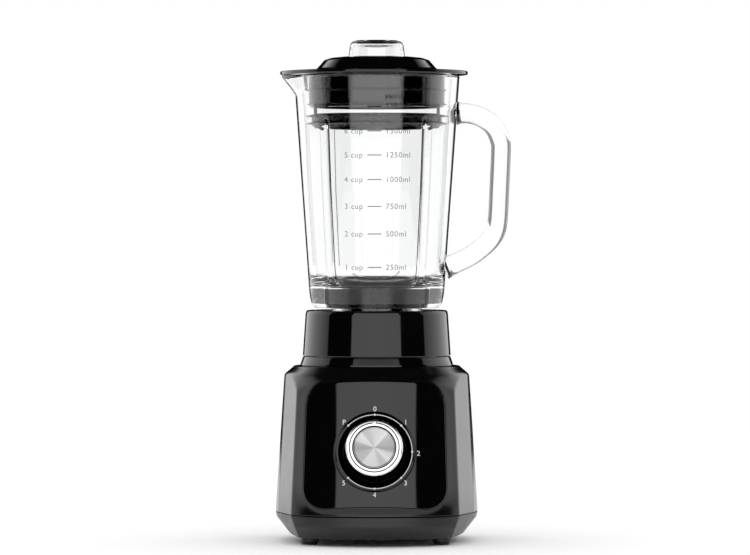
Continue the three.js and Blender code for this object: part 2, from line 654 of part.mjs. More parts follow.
const WINDOW = { low: 364, high: 369.1, postHalfY: 9 };
function makePlug() {
  const sleeve = turned([
    [50.8, 353], [53.3, 353], [53.3, 369.3], [56.4, 369.8], [59.2, 371.8], [57.4, 372.8], [57.4, 382.9],
    [59.2, 383.8], [57.4, 384.7], [57.4, 397.7], [54.9, 397.7], [54.9, 373.5], [50.8, 369],
  ]);
  const halfDepth = (70 - WINDOW.postHalfY) / 2;
  const middle = (WINDOW.low + WINDOW.high) / 2;
  const windows = [-1, 1].map((y) =>
    block(140, 2 * halfDepth, WINDOW.high - WINDOW.low, [0, y * (WINDOW.postHalfY + halfDepth), middle]),
  );
  return cut(sleeve, ...windows);
}
add("lid_plug", onDeck(makePlug()), "glossBlack");
add(
  "lid_seal",
  onDeck(turned([
    [53.6, 354], [54.9, 354], [60.7, 355.2], [60.7, 356], [54.9, 357], [54.9, 360.9], [60.7, 361.6],
    [60.7, 362.4], [54.9, 363.4], [53.6, 363.4],
  ])),
  "silicone",
);
add(
  "measuring_cap",
  onDeck(turned([
    [0, 424.2], [17.6, 423.9], [20.2, 421], [21.6, 411], [22, 387], [24.2, 387], [24.2, 406], [23.9, 411.8],
    [22.9, 420.6], [21.4, 424.6], [18.6, 426.2], [0, 426.6],
  ], MEDIUM)),
  "clear",
);

// ---------------------------------------------------------------- origin
const footprint = new THREE.Box3().setFromObject(blender);
const centre = footprint.getCenter(new THREE.Vector3());
blender.position.set(-centre.x, -centre.y, -footprint.min.z);

export default blender;
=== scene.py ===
"""The countertop blender's looks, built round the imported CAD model.

Shapes are worked out in millimetres about the drive axis, like the CAD, and turned into metres as each
piece is made. Dial pieces are worked out about the knob's own axis: u right, v up the panel, w outwards.
"""
import json
import math

import bmesh
import bpy
import numpy as np
from mathutils import Matrix, Vector


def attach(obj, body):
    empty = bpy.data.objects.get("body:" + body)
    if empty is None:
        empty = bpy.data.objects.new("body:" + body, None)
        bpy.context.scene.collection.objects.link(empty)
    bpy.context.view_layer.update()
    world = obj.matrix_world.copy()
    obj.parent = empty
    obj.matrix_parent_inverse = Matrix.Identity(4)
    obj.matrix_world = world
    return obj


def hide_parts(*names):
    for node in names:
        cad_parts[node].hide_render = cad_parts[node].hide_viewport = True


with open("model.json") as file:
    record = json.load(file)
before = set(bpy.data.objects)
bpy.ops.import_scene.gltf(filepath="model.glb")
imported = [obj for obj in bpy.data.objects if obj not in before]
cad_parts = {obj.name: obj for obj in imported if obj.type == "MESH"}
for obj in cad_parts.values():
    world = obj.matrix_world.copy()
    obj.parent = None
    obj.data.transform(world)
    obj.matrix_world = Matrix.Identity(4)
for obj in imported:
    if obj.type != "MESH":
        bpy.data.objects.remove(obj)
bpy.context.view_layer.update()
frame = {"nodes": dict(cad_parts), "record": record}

MM = 0.001
JOINTS = {joint["name"]: joint for joint in frame["record"]["behaviour"]["joints"]}
AXIS = Vector((*JOINTS["motor_spin"]["pos_m"][:2], 0.0))
DIAL_CENTRE = Vector(JOINTS["knob_turn"]["pos_m"])
DIAL_OUT = -Vector(JOINTS["knob_turn"]["axis"]).normalized()
TILT = math.asin(DIAL_OUT.z)  # how far the front leans back

# ------------------------------------------------------------------ outlines
FRONT_BOW = 98.0
BACK_BOW = 170.0
BEVEL = math.radians(8)  # each side turns in by this much at both ends
SIDE_TAPER = 0.0615
TRAY_BOTTOM = 6.2
KNEE_Z = 16.0
SEAM_Z = 25.0
PANEL_TOP_Z = 138.5
SHOULDER_Z = 140.7
HOUSING_TOP = 147.7
WALL = 3.4
DIAL_Z = DIAL_CENTRE.z / MM
FRONT_AT_PANEL_TOP = 76
FRONT_AT_SEAM = FRONT_AT_PANEL_TOP + math.tan(TILT) * (PANEL_TOP_Z - SEAM_Z)
BACK_AT_SEAM = 84
SIDE_AT_SEAM = 85.3

# As (height, distance from the drive axis): the front, the back, the sides, and the corner creases' x.
FRONT = [(TRAY_BOTTOM, FRONT_AT_SEAM - 10.4), (KNEE_Z, FRONT_AT_SEAM), (SEAM_Z, FRONT_AT_SEAM),
         (PANEL_TOP_Z, FRONT_AT_PANEL_TOP), (HOUSING_TOP, 67)]
BACK = [(TRAY_BOTTOM, 74.5), (KNEE_Z, BACK_AT_SEAM), (SEAM_Z, BACK_AT_SEAM),
        (HOUSING_TOP, BACK_AT_SEAM - SIDE_TAPER * (HOUSING_TOP - SEAM_Z))]
SIDE = [(TRAY_BOTTOM, 72.8), (SEAM_Z - 3.7, 84.7), (SEAM_Z + 1.5, SIDE_AT_SEAM),
        (SHOULDER_Z, SIDE_AT_SEAM - SIDE_TAPER * (SHOULDER_Z - SEAM_Z)),
        (HOUSING_TOP, SIDE_AT_SEAM - SIDE_TAPER * (HOUSING_TOP - SEAM_Z))]
CREASE = [(TRAY_BOTTOM, 63.5), (SEAM_Z, 70), (HOUSING_TOP, 65)]
BEVEL_START = [(TRAY_BOTTOM, 11), (SEAM_Z, 11), (HOUSING_TOP, 2)]  # half the flat part of each side
FACET_DEGREES = [(TRAY_BOTTOM, 11), (SEAM_Z, 17), (HOUSING_TOP, 17)]
# The round shoulder that trims the corners: its radius, far outside the corners low down.
DOME = [(TRAY_BOTTOM, 130), (90, 96), (105, 91.5), (119, 87.8), (128, 84.6), (135, 81.2), (SHOULDER_Z, 77.8),
        (HOUSING_TOP, 69.6)]
CREASE_ROUNDING, EDGE_ROUNDING = 0.3, 1.0

PANEL_LOW, PANEL_HIGH = -46.8, 59.5  # the front panel's lower and upper edge, along v
PANEL_BOW = 103.0
PANEL_BOTTOM_HALF, PANEL_TOP_HALF = 60.4, 57.3
PANEL_CORNER_LOW, PANEL_CORNER_HIGH = 20.0, 19.0


def along(points, z, soft=0.0):
    """The value at z of a line through (z, value) points, its knees rounded over soft."""
    zs, values = zip(*points)
    ends = [-soft, -soft / 2, 0, soft / 2, soft] if soft else [0]
    return float(np.mean([np.interp(z + t, zs, values) for t in ends]))


def soft_min(values, k):
    """The least of several arrays, rounded over about k where they cross."""
    stack = np.stack(values)
    least = stack.min(axis=0)
    return least - k * np.log(np.exp(-(stack - least) / k).sum(axis=0))


def facets(z):
    """The corner facets at z: their angle, the creases' x, the front and the rear crease's y, and how far
    forwards and back they meet the side's bevels."""
    facet = math.radians(along(FACET_DEGREES, z))
    side, x, start = along(SIDE, z), along(CREASE, z), along(BEVEL_START, z)
    front = FRONT_BOW - along(FRONT, z) - math.sqrt(FRONT_BOW**2 - x**2)
    back = along(BACK, z) - BACK_BOW + math.sqrt(BACK_BOW**2 - x**2)

    def meets_bevel(depth):
        run = x + depth * math.tan(facet) - side - start * math.tan(BEVEL)
        return max(run / (math.tan(facet) - math.tan(BEVEL)), start + 2)

    return facet, x, front, back, meets_bevel(-front), meets_bevel(back)


def reach(z, angle, inset):
    """Distance from the drive axis to the motor base's outline at height z, for an array of angles."""
    c, s = np.cos(angle), np.sin(angle)
    facet, x, crease_front, crease_back, _, _ = facets(z)
    front, back, side = (along(points, z, EDGE_ROUNDING) for points in (FRONT, BACK, SIDE))
    start = along(BEVEL_START, z)

    def to_circle(cy, r):
        return cy * s + np.sqrt(r * r - cy * cy * c * c)

    def to_plane(turn, px, py):
        nx, ny = math.cos(turn), math.copysign(math.sin(turn), py)
        across = np.abs(c) * nx + s * ny
        return np.where(across > 1e-4, (px * nx + py * ny - inset) / np.maximum(across, 1e-4), 1e4)

    return soft_min([
        np.where(s < 0.4, to_circle(FRONT_BOW - front, FRONT_BOW - inset), 1e4),
        np.where(s > -0.4, to_circle(back - BACK_BOW, BACK_BOW - inset), 1e4),
        to_plane(0, side, 0),
        to_plane(BEVEL, side, -start),
        to_plane(BEVEL, side, start),
        to_plane(facet, x, crease_front),
        to_plane(facet, x, crease_back),
        np.full_like(c, along(DOME, z, EDGE_ROUNDING) - inset),
    ], CREASE_ROUNDING)


def outline_angles(z):
    """Angles from the front, round the right side and back to the front, closest together at the corners."""
    _, x, front, back, bevel_front, bevel_back = facets(z)
    side, start = along(SIDE, z), along(BEVEL_START, z)
    corners = [(x, front), (side, -bevel_front), (side, -start), (side, start), (side, bevel_back), (x, back)]
    keys = [-math.pi / 2, *(math.atan2(y, px) for px, y in corners), math.pi / 2]
    right = []
    for low, high, count in zip(keys, keys[1:], (34, 16, 12, 8, 12, 14, 22)):
        t = np.arange(count) / count
        right.append(low + (high - low) * (t - 0.85 * np.sin(2 * np.pi * t) / (2 * np.pi)))
    right = np.concatenate(right)
    return np.concatenate([right, [math.pi / 2], (math.pi - right[1:])[::-1]])


def panel_distance(u, v, grow=0.0):
    """Signed distance from the front panel's rounded outline, in its own plane."""
    middle, half = (PANEL_LOW + PANEL_HIGH) / 2, (PANEL_HIGH - PANEL_LOW) / 2
    width = np.interp(v, (PANEL_LOW, PANEL_HIGH), (PANEL_BOTTOM_HALF, PANEL_TOP_HALF))
    corner = np.where(v < middle, PANEL_CORNER_LOW, PANEL_CORNER_HIGH)
    qu = np.abs(u) - (width - corner)
    qv = np.abs(v - middle) - (half - corner)
    outside = np.hypot(np.maximum(qu, 0), np.maximum(qv, 0))
    return outside + np.minimum(np.maximum(qu, qv), 0) - corner - grow


def bow(u):
    """How far the bowed panel falls back at u, measured along the dial's axis."""
    return math.cos(TILT) * (PANEL_BOW - np.sqrt(PANEL_BOW**2 - np.minimum(np.abs(u), 100) ** 2))


def dial_coordinates(points):
    """u and v of points given about the drive axis."""
    return points[:, 0], (points[:, 2] - DIAL_Z) / math.cos(TILT)


# ------------------------------------------------------------------ mesh helpers
def add_object(name, data):
    thing = bpy.data.objects.new(name, data)
    bpy.context.collection.objects.link(thing)
    return thing


def evaluated(thing):
    bpy.context.view_layer.update()
    return bpy.data.meshes.new_from_object(thing.evaluated_get(bpy.context.evaluated_depsgraph_get()))


def rounded(points, steps=5):
    """An open line through (a, b) or (a, b, radius) points, with an arc at each point that has a radius."""
    made = []
    for i, point in enumerate(points):
        here = np.array(point[:2], float)
        radius = point[2] if len(point) > 2 else 0
        if not radius or i in (0, len(points) - 1):
            made.append(here)
            continue
        before, after = np.array(points[i - 1][:2]) - here, np.array(points[i + 1][:2]) - here
        lengths = np.linalg.norm(before), np.linalg.norm(after)
        before, after = before / lengths[0], after / lengths[1]
        half = math.acos(np.clip(before @ after, -1, 1)) / 2
        cut = min(radius / math.tan(half), 0.49 * lengths[0], 0.49 * lengths[1])
        bisector = (before + after) / np.linalg.norm(before + after)
        centre = here + bisector * (cut / math.cos(half))
        start, end = here + before * cut - centre, here + after * cut - centre
        sweep = math.acos(np.clip(start @ end / (np.linalg.norm(start) * np.linalg.norm(end)), -1, 1))
        for k in range(steps + 1):
            t = k / steps
            arm = math.sin((1 - t) * sweep) * start + math.sin(t * sweep) * end
            made.append(centre + arm / math.sin(sweep))
    return made


def subdivided(points, step):
    """The same line with no span longer than step."""
    made = [points[0]]
    for a, b in zip(points, points[1:]):
        count = max(1, math.ceil(np.linalg.norm(np.subtract(b, a)) / step))
        made += [np.add(a, np.subtract(b, a) * (k / count)) for k in range(1, count + 1)]
    return made


def skin(rings, closed=False, capped=True):
    """Vertices and faces of rings of points, each an (n, 3) array, skinned in order."""
    count = len(rings[0])
    vertices = np.concatenate(rings)
    levels = len(rings)
    faces = []
    for level in range(levels if closed else levels - 1):
        a, b = level * count, (level + 1) % levels * count
        for i in range(count):
            j = (i + 1) % count
            faces.append((a + i, a + j, b + j, b + i))
    if capped and not closed:
        faces.append(tuple(range(count - 1, -1, -1)))
        faces.append(tuple(range((levels - 1) * count, levels * count)))
    return vertices, faces


def turned(profile, segments):
    """(r, z) points turned about Z: open where they start and end on the axis, otherwise closed."""
    angle = np.arange(segments) / segments * 2 * math.pi
    solid = profile[0][0] < 1e-9
    inner = profile[1:-1] if solid else profile
    rings = [np.stack([r * np.cos(angle), r * np.sin(angle), np.full(segments, z)], axis=1) for r, z in inner]
    vertices, faces = skin(rings, closed=not solid, capped=False)
    if solid:
        count = len(vertices)
        last = count - segments
        vertices = np.concatenate([vertices, [(0, 0, profile[0][1]), (0, 0, profile[-1][1])]])
        for i in range(segments):
            j = (i + 1) % segments
            faces += [(count, j, i), (count + 1, last + i, last + j)]
    return vertices, faces


def loop_back(profile, steps=5):
    """A closed profile with its corners rounded: points are (r, z) or (r, z, radius)."""
    start = tuple((np.array(profile[0][:2]) + np.array(profile[-1][:2])) / 2)
    return rounded([start, *profile, start], steps)[:-1]


def to_mesh(name, vertices, faces, sharp=28):
    """A mesh in metres from vertices in millimetres, smooth except across edges sharper than an angle."""
    mesh = bpy.data.meshes.new(name)
    mesh.from_pydata((np.asarray(vertices) * MM).tolist(), [], faces)
    made = bmesh.new()
    made.from_mesh(mesh)
    bmesh.ops.remove_doubles(made, verts=made.verts, dist=1e-7)
    bmesh.ops.recalc_face_normals(made, faces=made.faces)
    made.to_mesh(mesh)
    made.free()
    finish_shading(mesh, sharp)
    return mesh


def finish_shading(mesh, sharp=28):
    mesh.polygons.foreach_set("use_smooth", [True] * len(mesh.polygons))
    mesh.set_sharp_from_angle(angle=math.radians(sharp))
    mesh.update()


BODY_FRAME = Matrix.Translation(AXIS)
DECK_DROP = 3.8  # what stands on the deck is drawn this much higher
DECK_FRAME = Matrix.Translation(AXIS - Vector((0, 0, DECK_DROP * MM)))
DIAL_FRAME = Matrix((
    (1, 0, DIAL_OUT.x, DIAL_CENTRE.x),
    (0, DIAL_OUT.z, DIAL_OUT.y, DIAL_CENTRE.y),
    (0, -DIAL_OUT.y, DIAL_OUT.z, DIAL_CENTRE.z),
    (0, 0, 0, 1),
))


def place(name, mesh, material, body, replaces=(), at=BODY_FRAME):
    """Adds a piece to the scene, riding on a CAD body and standing for CAD nodes."""
    piece = add_object(name, mesh)
    mesh.materials.clear()
    mesh.materials.append(material)
    piece.matrix_world = at
    bpy.context.view_layer.update()
    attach(piece, body)
    if replaces:
        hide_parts(*replaces)
    return piece


def boolean(mesh, cutters, operation="DIFFERENCE"):
    """The mesh with other meshes cut away or joined on. The others are used up."""
    target = add_object("work", mesh)
    others = []
    for cutter in cutters:
        other = add_object("tool", cutter)
        others.append(other)
        step = target.modifiers.new("cut", "BOOLEAN")
        step.object, step.operation, step.solver = other, operation, "MANIFOLD"
    made = evaluated(target)
    made.name = mesh.name
    for thing in (target, *others):
        data = thing.data
        bpy.data.objects.remove(thing)
        bpy.data.meshes.remove(data)
    return made


def box_mesh(low, high):
    corners = [(x, y, z) for x in (low[0], high[0]) for y in (low[1], high[1]) for z in (low[2], high[2])]
    faces = [(0, 1, 3, 2), (4, 6, 7, 5), (0, 4, 5, 1), (2, 3, 7, 6), (0, 2, 6, 4), (1, 5, 7, 3)]
    return to_mesh("box", corners, faces)


def round_mesh(r, low, high, x=0.0, y=0.0, segments=48):
    vertices, faces = turned([(0, low), (r, low), (r, high), (0, high)], segments)
    return to_mesh("round", vertices + np.array([x, y, 0]), faces)


# ------------------------------------------------------------------ materials
class Tree:
    """A node tree, with short calls for its usual nodes."""

    def __init__(self, tree):
        self.tree = tree

    def add(self, kind, **inputs):
        node = self.tree.nodes.new(kind)
        for key, value in inputs.items():
            self.put(node.inputs[key], value)
        return node

    def put(self, socket, value):
        if isinstance(value, bpy.types.NodeSocket):
            self.tree.links.new(value, socket)
        else:
            socket.default_value = value

    def maths(self, operation, first, second=0.0):
        node = self.tree.nodes.new("ShaderNodeMath")
        node.operation = operation
        self.put(node.inputs[0], first)
        self.put(node.inputs[1], second)
        return node.outputs[0]

    def ramp(self, value, low, high, out_low, out_high):
        node = self.add("ShaderNodeMapRange", Value=value)
        for key, number in (("From Min", low), ("From Max", high), ("To Min", out_low), ("To Max", out_high)):
            node.inputs[key].default_value = number
        return node.outputs["Result"]

    def grey_ramp(self, stops, turn, whole, top=1):
        """A ramp of (degrees, brightness) stops, read at turn as a share of whole, giving shares of top."""
        node = self.add("ShaderNodeValToRGB", Fac=turn)
        elements = node.color_ramp.elements
        elements.remove(elements[-1])
        for i, (degrees, value) in enumerate(stops):
            element = elements[0] if i == 0 else elements.new(degrees / whole)
            element.position = degrees / whole
            element.color = (value / top, value / top, value / top, 1)
        return node.outputs["Color"]


class Nodes(Tree):
    """A material's node tree."""

    def __init__(self, name):
        self.material = bpy.data.materials.new(name)
        self.material.use_nodes = True
        super().__init__(self.material.node_tree)
        self.shader = self.tree.nodes["Principled BSDF"]
        self.object_space = self.add("ShaderNodeTexCoord").outputs["Object"]

    def set(self, **inputs):
        for key, value in inputs.items():
            self.put(self.shader.inputs[key.replace("_", " ")], value)

    def noise(self, scale, detail=3.0, roughness=0.55, vector=None):
        node = self.add("ShaderNodeTexNoise", Scale=scale, Detail=detail, Roughness=roughness)
        self.put(node.inputs["Vector"], vector or self.object_space)
        return node.outputs["Fac"]

    def blend(self, value, dark, light):
        node = self.tree.nodes.new("ShaderNodeMix")
        node.data_type = "RGBA"
        self.put(node.inputs["Factor"], value)
        self.put(node.inputs["A"], (*dark, 1))
        self.put(node.inputs["B"], (*light, 1))
        return node.outputs["Result"]

    def bump(self, height, distance):
        node = self.add("ShaderNodeBump", Height=height, Distance=distance)
        return node.outputs["Normal"]


def plastic(name, dark, light, smooth, rough, grain, grain_depth):
    """Moulded plastic: slightly mottled colour, patchy gloss, and a fine surface grain."""
    n = Nodes(name)
    n.set(
        Base_Color=n.blend(n.noise(35, 4), dark, light),
        Roughness=n.ramp(n.noise(60, 5), 0.3, 0.7, smooth, rough),
        IOR=1.5,
        Normal=n.bump(n.noise(grain, 2), grain_depth),
    )
    return n.material


def clear(name, tint, ior, ripple):
    """Clear glass or plastic with a faint ripple in its surface."""
    n = Nodes(name)
    n.set(
        Base_Color=n.blend(n.noise(14, 2), tint, (1, 1, 1)),
        Transmission_Weight=1.0,
        Roughness=0.0,
        IOR=ior,
        Normal=n.bump(n.noise(26, 2), ripple),
    )
    return n.material


def metal(name, dark, light, smooth, rough, scale=90):
    n = Nodes(name)
    n.set(
        Base_Color=n.blend(n.noise(scale, 4), dark, light),
        Metallic=1.0,
        Roughness=n.ramp(n.noise(scale * 2, 4), 0.3, 0.7, smooth, rough),
        Normal=n.bump(n.noise(scale * 12, 2), 0.00001),
    )
    return n.material


# The wedges of light on the spun disc are painted and turn with it: brightness judged, against degrees
# anticlockwise from three o'clock.
WEDGES = [(0, 0.5), (10, 0.55), (40, 0.62), (52, 1.0), (64, 0.86), (90, 0.78), (112, 0.6), (126, 0.62),
          (134, 1.0), (156, 0.96), (166, 0.58), (184, 0.44), (200, 0.62), (226, 0.6), (234, 0.86),
          (262, 0.84), (278, 0.8), (292, 0.6), (308, 0.66), (316, 1.0), (338, 0.92), (348, 0.56),
          (357, 0.42), (360, 0.5)]


def spun(name):
    """Metal turned on a lathe: fine rings, and painted wedges of light on top of the stretched highlights."""
    n = Nodes(name)
    split = n.add("ShaderNodeSeparateXYZ", Vector=n.object_space)
    square = n.maths("ADD", n.maths("MULTIPLY", split.outputs["X"], split.outputs["X"]),
                     n.maths("MULTIPLY", split.outputs["Y"], split.outputs["Y"]))
    radius = n.maths("SQRT", square)
    rings = n.add("ShaderNodeCombineXYZ", X=radius)
    grooves = n.noise(5200, 4, 0.7, rings.outputs["Vector"])
    turn = n.maths("ARCTAN2", split.outputs["Y"], split.outputs["X"])
    turn = n.maths("FRACT", n.maths("ADD", n.maths("DIVIDE", turn, 2 * math.pi), 1.0))
    shade = n.maths("MULTIPLY", n.grey_ramp(WEDGES, turn, 360), n.ramp(grooves, 0.2, 0.8, 0.85, 1.1))
    tangent = n.tree.nodes.new("ShaderNodeTangent")
    tangent.direction_type, tangent.axis = "RADIAL", "Z"
    n.set(
        Base_Color=n.blend(shade, (0.12, 0.12, 0.122), (0.62, 0.62, 0.625)),
        Metallic=1.0,
        Roughness=n.ramp(grooves, 0.3, 0.7, 0.3, 0.42),
        Anisotropic=0.8,
        Tangent=tangent.outputs["Tangent"],
    )
    return n.material


def ink(name, dark, light, gloss, cover):
    n = Nodes(name)
    n.set(
        Base_Color=n.blend(n.noise(2500, 3), dark, light),
        Roughness=n.ramp(n.noise(900, 2), 0.3, 0.7, 0.4, 0.55),
        Specular_IOR_Level=gloss,
        Alpha=cover,
    )
    return n.material


def laminated(name):
    """Thin sheets stacked along Z."""
    n = Nodes(name)
    split = n.add("ShaderNodeSeparateXYZ", Vector=n.object_space)
    wave = n.maths("SINE", n.maths("MULTIPLY", split.outputs["Z"], 12000))
    n.set(
        Base_Color=n.blend(n.ramp(wave, -1, 1, 0, 1), (0.16, 0.16, 0.17), (0.4, 0.4, 0.42)),
        Metallic=1.0,
        Roughness=0.45,
        Normal=n.bump(wave, 0.00006),
    )
    return n.material


def wound(name):
    """Enamelled wire laid side by side."""
    n = Nodes(name)
    split = n.add("ShaderNodeSeparateXYZ", Vector=n.object_space)
    wave = n.maths("SINE", n.maths("MULTIPLY", split.outputs["X"], 9000))
    n.set(
        Base_Color=n.blend(n.ramp(wave, -1, 1, 0, 1), (0.32, 0.11, 0.04), (0.78, 0.34, 0.14)),
        Metallic=0.9,
        Roughness=0.3,
        Normal=n.bump(wave, 0.00012),
    )
    return n.material


GLOSS_BLACK = plastic(
    "gloss_black", (0.0006, 0.0006, 0.0007), (0.0022, 0.0022, 0.0024), 0.03, 0.075, 900, 0.0000006,
)
HOUSING_BLACK = plastic(
    "housing_black", (0.0012, 0.0012, 0.0013), (0.0028, 0.0028, 0.003), 0.13, 0.19, 1400, 0.000001,
)
SATIN_BLACK = plastic(
    "satin_black", (0.004, 0.004, 0.0045), (0.009, 0.009, 0.0095), 0.24, 0.36, 2600, 0.000008,
)
NYLON = plastic("nylon", (0.012, 0.012, 0.013), (0.03, 0.03, 0.032), 0.4, 0.6, 1800, 0.00001)
RUBBER = plastic("rubber", (0.004, 0.004, 0.004), (0.012, 0.012, 0.012), 0.35, 0.55, 1500, 0.00002)
SILICONE = plastic("silicone", (0.006, 0.006, 0.0065), (0.014, 0.014, 0.0145), 0.2, 0.34, 1400, 0.000006)
CARBON = plastic("carbon", (0.01, 0.01, 0.01), (0.035, 0.035, 0.036), 0.5, 0.7, 3000, 0.00002)
BOARD = plastic("board", (0.012, 0.06, 0.03), (0.03, 0.12, 0.05), 0.3, 0.45, 1200, 0.00001)
JUG_GLASS = clear("jug_glass", (0.975, 0.985, 0.985), 1.47, 0.000012)
CAP_PLASTIC = clear("cap_plastic", (0.975, 0.98, 0.98), 1.49, 0.000004)
CHROME = metal("chrome", (0.86, 0.86, 0.87), (0.96, 0.96, 0.97), 0.06, 0.12, 160)
STEEL = metal("steel", (0.5, 0.5, 0.51), (0.68, 0.68, 0.69), 0.16, 0.3)
CAST = metal("cast_aluminium", (0.42, 0.42, 0.43), (0.62, 0.62, 0.63), 0.38, 0.55)
BRASS = metal("brass", (0.6, 0.42, 0.18), (0.82, 0.62, 0.3), 0.22, 0.36)
SPUN = spun("spun_aluminium")
LAMINATION = laminated("lamination")
COPPER = wound("copper")
DIAL_INK = ink("dial_ink", (0.72, 0.72, 0.72), (0.9, 0.9, 0.9), 0.5, 1.0)
SCALE_INK = ink("scale_ink", (0.03, 0.03, 0.032), (0.06, 0.06, 0.062), 0.05, 0.5)

BY_SLOT = {
    "gloss_black": GLOSS_BLACK, "satin_black": SATIN_BLACK, "nylon": NYLON, "jug_glass": JUG_GLASS,
    "clear_plastic": CAP_PLASTIC, "rubber": RUBBER, "silicone": SILICONE, "chrome": CHROME,
    "spun_aluminium": SPUN, "cast_aluminium": CAST, "steel": STEEL, "lamination": LAMINATION,
    "copper": COPPER, "brass": BRASS, "carbon": CARBON, "board": BOARD,
}


def dress_cad_nodes():
    """Gives every CAD node the material of its slot."""
    slots = {part["node"]: part["material_slot"] for part in frame["record"]["subparts"]}
    for node, piece in frame["nodes"].items():
        for i in range(max(1, len(piece.material_slots))):
            if len(piece.data.materials) <= i:
                piece.data.materials.append(None)
            piece.data.materials[i] = BY_SLOT[slots[node]]


# ------------------------------------------------------------------ motor base
def base_ring(z, inset=0.0):
    angle = outline_angles(z)
    r = reach(z, angle, inset)
    return np.stack([r * np.cos(angle), r * np.sin(angle), np.full_like(r, z)], axis=1)


def circle_ring(z, r, like_z):
    angle = outline_angles(like_z)
    return np.stack([r * np.cos(angle), r * np.sin(angle), np.full_like(angle, z)], axis=1)


def edge_rows(z, radius, upwards, steps=4):
    """(height, inset) of the rows of a rounded edge that ends at height z."""
    sign = 1 if upwards else -1
    turns = [k / steps * math.pi / 2 for k in range(steps + 1)]
    rows = [(z - sign * radius * (1 - math.sin(turn)), radius * (1 - math.cos(turn))) for turn in turns]
    return rows if upwards else rows[::-1]


FLARE_HEIGHT, FLARE_WIDTH = 2.4, 11.0


def with_flare(ring):
    """The ring, swollen towards the front panel's edge."""
    u, v = dial_coordinates(ring)
    distance = panel_distance(u, v)
    swell = FLARE_HEIGHT * np.clip(1 - distance / FLARE_WIDTH, 0, 1) ** 2
    ring = ring.copy()
    ring[:, 1] -= np.where(ring[:, 1] < 0, swell, 0)
    return ring


PANEL_ANGLES = np.arange(360) / 360 * 2 * math.pi


def panel_ring(distance_out, w):
    """A closed ring at a distance outside the panel's outline, at a height w above the bowed front."""
    angle = PANEL_ANGLES
    low, high = np.zeros(len(angle)), np.full(len(angle), 120.0)
    for _ in range(40):
        middle = (low + high) / 2
        inside = panel_distance(middle * np.cos(angle), middle * np.sin(angle), distance_out) < 0
        low, high = np.where(inside, middle, low), np.where(inside, high, middle)
    u, v = low * np.cos(angle), low * np.sin(angle)
    return np.stack([u, v, w - bow(u)], axis=1)


def dial_ring(r, w):
    u, v = r * np.cos(PANEL_ANGLES), r * np.sin(PANEL_ANGLES)
    return np.stack([u, v, w - bow(u)], axis=1)


DIAL_HOLE = 33.8
PANEL_RAISE = 1.0


def panel_mesh(grow, top, bottom, hole, edge):
    """A plate that follows the bowed front, with a round hole for the dial and rounded edges."""
    rings = [panel_ring(grow, bottom)]
    steps = 5
    for k in range(steps + 1):
        turn = k / steps * math.pi / 2
        rings.append(panel_ring(grow - edge * (1 - math.cos(turn)), top - edge * (1 - math.sin(turn))))
    lip = min(edge, 0.2)
    outer, inner = panel_ring(grow - edge, top), dial_ring(hole + lip, top)
    for t in (0.02, 0.06, 0.14, 0.26, 0.4, 0.55, 0.7, 0.82, 0.9, 0.95, 0.98):
        row = outer * (1 - t) + inner * t
        row[:, 2] = top - bow(row[:, 0])
        rings.append(row)
    for k in range(steps + 1):
        turn = (1 - k / steps) * math.pi / 2
        rings.append(dial_ring(hole + lip * (1 - math.cos(turn)), top - lip * (1 - math.sin(turn))))
    rings.append(dial_ring(hole, bottom))
    return to_mesh("front_panel", *skin(rings, closed=True), sharp=40)


def in_base_frame(mesh):
    """Moves a mesh made about the dial into the drive axis's frame."""
    mesh.transform(BODY_FRAME.inverted() @ DIAL_FRAME)
    return mesh


DECK_OPENING = 54.4  # under the jug's seat
GLAND_HOLE, GLAND_Z = 7.4, 44


def make_housing():
    rings = []
    heights = sorted({*np.linspace(SEAM_Z + 1.1, 120, 46), *np.linspace(121.5, HOUSING_TOP - 0.9, 28)})
    rings += [with_flare(base_ring(z, inset)) for z, inset in edge_rows(SEAM_Z + 0.35, 0.7, False)]
    rings += [with_flare(base_ring(z)) for z in heights]
    rings += [base_ring(z, inset) for z, inset in edge_rows(HOUSING_TOP, 0.7, True)]
    rings.append(circle_ring(HOUSING_TOP, DECK_OPENING, HOUSING_TOP))
    rings.append(circle_ring(HOUSING_TOP - WALL, DECK_OPENING, HOUSING_TOP))
    rings += [base_ring(z, WALL) for z in (HOUSING_TOP - WALL, 140, 128, 110, 80, 50, SEAM_Z + 0.35)]
    shell = to_mesh("motor_housing", *skin(rings, closed=True))
    recess = in_base_frame(panel_mesh(0.25, 6.0, -2.6, DIAL_HOLE - 6, 0.01))
    dial = in_base_frame(round_mesh(DIAL_HOLE, -18, 14, segments=96))
    gland = round_mesh(GLAND_HOLE, 60, 110)
    gland.transform(Matrix.Translation((0, 0, GLAND_Z * MM)) @ Matrix.Rotation(math.radians(-90), 4, "X"))
    made = boolean(shell, [recess, dial, gland])
    finish_shading(made)
    place("motor_housing_shell", made, HOUSING_BLACK, "base", ["motor_housing"])


def make_panel():
    mesh = panel_mesh(0.0, PANEL_RAISE, -2.4, DIAL_HOLE, 0.7)
    place("front_panel_plate", mesh, GLOSS_BLACK, "base", ["front_panel"], DIAL_FRAME)


FOOT_X, FOOT_FRONT, FOOT_BACK = 55.0, -55.0, 52.0
SCREW_X, SCREW_Y = 57.0, 42.0
TRAY_FLOOR, TRAY_WALL = 2.6, 2.8


